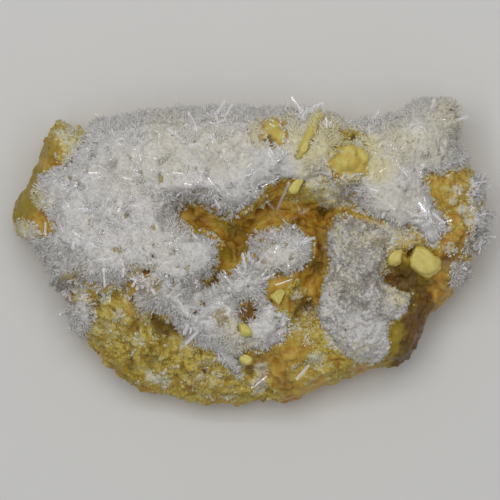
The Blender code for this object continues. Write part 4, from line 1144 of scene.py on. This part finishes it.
class SULFUR_OT_prisms(bpy.types.Operator):
    """Sets the clear prisms in the crusts and in the hollow"""

    bl_idname = "sulfur.prisms"
    bl_label = "Clear prisms"

    def execute(self, context):
        look = prism_look()
        chance = np.random.default_rng(9)
        tips = sum((prism_tips(*scaled_arrays(node)) for node in ALL_CRUSTS), [])
        trees = [surface_of(piece) for piece in bpy.data.objects if piece.name.endswith("_bed")]
        rows = []
        for tip, way, radius in tips:
            if way[1] > 0.85 and tip[2] < 15:
                continue  # it lies flat in the needles of the back
            start = Vector(tip) - Vector(way) * radius
            found = [tree.ray_cast(start, -Vector(way), 12.0) for tree in trees]
            depth = min([hit[3] for hit in found if hit[0] is not None], default=2.5)
            length = depth + radius + 0.15
            rows.append((tip - way * length, way, length, radius * 0.9))
        for node in ("cavity_prism", "cavity_side_prism", "lower_prism"):
            points, faces = scaled_arrays(node)
            tip, way, radius = prism_tips(points, faces)[0]
            length = ((tip - points) @ way).max()
            rows.append((tip - way * length, way, length, radius))
        self.add("clear_prisms", look, rows)
        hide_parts("cavity_prism", "cavity_side_prism", "lower_prism")

        trees.append(surface_of(bpy.data.objects["sulfur_body"]))
        rows = []

        def ground(x, y, default):
            found = [tree.ray_cast(Vector((x, y, ABOVE_ALL)), DOWN) for tree in trees]
            return max([hit[0].z for hit in found if hit[0] is not None], default=default)

        def add_one(foot, tip, radius):
            length = np.linalg.norm(tip - foot)
            rows.append((foot, (tip - foot) / length, length, radius))

        for x0, y0, x1, y1, radius, rise in PRISMS:
            low = ground(x0, y0, 15.0)
            high = max(ground(x1, y1, low), low - 1.0)
            add_one(np.array((x0, y0, low + 0.3)), np.array((x1, y1, high + rise + 0.4)), radius)
        for x, y, count, length, radius in FANS:
            for _ in range(count):
                turn = chance.uniform(0, 2 * math.pi)
                climb = chance.uniform(0.15, 0.9)
                reach_out = length * chance.uniform(0.6, 1.15)
                start = np.array((x, y, 0)) + chance.normal(0, 0.5, 3) * (1, 1, 0)
                start[2] = ground(start[0], start[1], 15.0) - 0.2
                side = math.sqrt(1 - climb**2) * reach_out
                end = start + (math.cos(turn) * side, math.sin(turn) * side, climb * reach_out)
                end[2] = max(end[2], ground(end[0], end[1], 0.0) + 0.25)
                add_one(start, end, radius * chance.uniform(0.55, 1.0))
        found = [places_on(chance, bpy.data.objects[node + "_bed"], LYING_PRISMS) for node, _ in CRUSTS]
        for place in np.concatenate([places[ways[:, 2] > 0.55] for places, ways in found]):
            level = ground(place[0], place[1], 0.0)
            if level - place[2] > 0.8 or pit_depth(place[None])[0] > 0:
                continue
            turn = chance.uniform(0, 2 * math.pi)
            length = chance.uniform(1.2, 3.2)
            end = place + (math.cos(turn) * length, math.sin(turn) * length, 0)
            end[2] = max(ground(end[0], end[1], place[2]), place[2] - 1.5) + chance.uniform(0.2, 0.7)
            add_one(place - (0, 0, 0.15), end, chance.uniform(0.11, 0.26))
        self.add("lying_prisms", look, rows)
        return {"FINISHED"}

    def add(self, name, look, rows):
        feet, ways, lengths, radii = (np.array(column) for column in zip(*rows))
        shape = (feet, ways, lengths, radii, 6, shining_turns(ways), 0.9, 0.96)
        for piece in add_prisms(name, look, "clear_prism", {}, shape):
            piece.visible_shadow = False  # light reaches the crust under a clear prism


def chiselled(points, chance, cuts, bite):
    """Presses a rounded crystal's outermost points back onto planes, which leaves flat faces."""
    for way in unit(chance.normal(0, 1, (cuts, 3))):
        along = points @ way
        limit = along.max() - chance.uniform(0.3, 1.0) * bite * np.ptp(along)
        points = points - way * np.maximum(along - limit, 0)[:, None]
    return points


def tapered(points):
    """Narrows the hook from its broad lower end to a thin tip under the crust."""
    start, end = np.array(HOOK_ENDS)
    axis = end - start
    along = ((points[:, :2] - start) @ axis) / (axis @ axis)
    share = np.clip(along, 0, 1)[:, None]
    middle = start + share * axis
    points = points.copy()
    points[:, :2] = middle + (points[:, :2] - middle) * (1 - 0.4 * share)
    return points


class SULFUR_OT_crystals(bpy.types.Operator):
    """Rounds the lemon-yellow sulfur crystals and pits their faces"""

    bl_idname = "sulfur.crystals"
    bl_label = "Lemon crystals"

    def execute(self, context):
        colours = context.scene.sulfur_colours
        look = crystal_look(colours)
        chance = np.random.default_rng(11)
        for node in CRYSTALS:
            points, faces = arrays(frame["nodes"][node])
            piece = new_piece(node + "_faces", points, faces)
            remesh(piece, CRYSTAL_FACES, 2)
            piece.data.materials.append(look)
            points, facing = corners(piece)
            lift = 0.30 * rough(points, 2.2, 21) + 0.42
            points = points + facing * lift[:, None]
            if node == "sulfur_hook":
                points = tapered(points)
            points = chiselled(points, chance, 16, 0.18 if node in MIDDLE_CRYSTALS else 0.10)
            pitted = 0.10 * chipped(points, 0.9, 22) + 0.05 * rough(points, 0.5, 23)
            put_corners(piece, points + facing * pitted[:, None])
            piece.data.shade_smooth()
            settle(piece, "lemon_sulfur", node)
            if node == "sulfur_blade":
                places, ways = places_on(chance, piece, RIM_GRAINS)
                low = places[:, 2] < places[:, 2].max() - 2.2 - 0.12 * np.maximum(places[:, 1] - 24, 0)
                places, ways = places[low], ways[low]
        count = len(places)
        heading = unit(ways * 0.3 + chance.normal(0, 0.5, places.shape) + (0, 0, 0.5))
        marks = {
            "yellowed": 0.6 + reach(places, YELLOWED), "smoky_and_shade": np.zeros(count),
            "tone": chance.normal(0.5, 0.3, count),
        }
        radii = chance.uniform(0.14, 0.26, count)
        shape = (
            places - heading * 0.3 + ways * 0.1, heading, chance.uniform(0.5, 0.9, count), radii, 4,
            chance.random(count) * TURN, 1.0, 0.8,
        )
        add_prisms(
            "crystal_rims", needle_look("rim grains", colours, colours.white, 0.35), "needle_crust",
            marks, shape, ways, 0.3,
        )
        return {"FINISHED"}


def area_light(name, power, size, place, aim):
    light = bpy.data.lights.new(name, "AREA")
    light.shape = "RECTANGLE"
    light.size, light.size_y = size
    light.energy = power
    lamp = bpy.data.objects.new(name, light)
    lamp.location = place
    lamp.rotation_euler = (Vector(aim) - Vector(place)).to_track_quat("-Z", "Y").to_euler()
    bpy.context.scene.collection.objects.link(lamp)


class SULFUR_OT_stage(bpy.types.Operator):
    """Lays the pale floor and sets the lights and the camera"""

    bl_idname = "sulfur.stage"
    bl_label = "Stage"

    def execute(self, context):
        scene = context.scene
        stage = scene.sulfur_stage
        square = np.array([(-1, -1, 0), (1, -1, 0), (1, 1, 0), (-1, 1, 0)])
        floor = new_piece("floor", square * FLOOR_HALF, np.array([(0, 1, 2, 3)]))
        look = Look("floor paper", Roughness=0.8)
        darker = [part * 0.97 for part in stage.floor]
        look.feed("Base Color", look.mix(stage.floor, darker, look.grain(40.0, 2.0)))
        floor.data.materials.append(look.material)
        area_light("key", stage.key, (0.55, 0.35), (-0.10, 0.19, 0.77), (0, 0, 0.02))
        for number, (x, y, z, half_x, half_y) in enumerate(STRIPS):
            size = (max(2 * half_x, STRIP_WIDTH), max(2 * half_y, STRIP_WIDTH))
            area_light(f"strip_{number + 1}", stage.strip, size, (x, y, z), (x, y, 0.0))
        scene.world = bpy.data.worlds.new("studio")
        scene.world.use_nodes = True
        sky = scene.world.node_tree.nodes["Background"]
        sky.inputs["Color"].default_value = (1.0, 0.99, 0.97, 1.0)
        sky.inputs["Strength"].default_value = stage.sky
        scene.view_settings.view_transform = "Standard"
        lens = bpy.data.cameras.new("camera")
        lens.sensor_width = SENSOR
        lens.lens = SENSOR * VIEW_DISTANCE / VIEW_WIDTH
        camera = bpy.data.objects.new("camera", lens)
        camera.location = (*VIEW_CENTRE, VIEW_HEIGHT + VIEW_DISTANCE)
        scene.collection.objects.link(camera)
        scene.camera = camera
        return {"FINISHED"}


OPERATORS = (
    SULFUR_OT_lump, SULFUR_OT_grains, SULFUR_OT_needle_crust, SULFUR_OT_grey_crust, SULFUR_OT_prisms,
    SULFUR_OT_crystals, SULFUR_OT_stage,
)


class SULFUR_PT_sidebar(bpy.types.Panel):
    """Lists the steps that dress the specimen"""

    bl_label = "Sulfur specimen"
    bl_space_type = "VIEW_3D"
    bl_region_type = "UI"
    bl_category = "Sulfur"

    def draw(self, context):
        for group in ("sulfur_colours", "sulfur_needles", "sulfur_stage"):
            settings = getattr(context.scene, group)
            for name in settings.__annotations__:
                self.layout.prop(settings, name)
        for operator in OPERATORS:
            self.layout.operator(operator.bl_idname)


GROUPS = (
    ("sulfur_colours", SulfurColours),
    ("sulfur_needles", SulfurNeedles),
    ("sulfur_stage", SulfurStage),
)


def register():
    for name, group in GROUPS:
        bpy.utils.register_class(group)
        setattr(bpy.types.Scene, name, bpy.props.PointerProperty(type=group))
    for operator in OPERATORS:
        bpy.utils.register_class(operator)
    bpy.utils.register_class(SULFUR_PT_sidebar)


def unregister():
    bpy.utils.unregister_class(SULFUR_PT_sidebar)
    for operator in reversed(OPERATORS):
        bpy.utils.unregister_class(operator)
    for name, group in reversed(GROUPS):
        delattr(bpy.types.Scene, name)
        bpy.utils.unregister_class(group)


def main():
    register()
    bpy.ops.sulfur.stage()
    bpy.ops.sulfur.lump()
    bpy.ops.sulfur.grains()
    bpy.ops.sulfur.needle_crust()
    bpy.ops.sulfur.grey_crust()
    bpy.ops.sulfur.prisms()
    bpy.ops.sulfur.crystals()


if __name__ == "__main__":
    main()
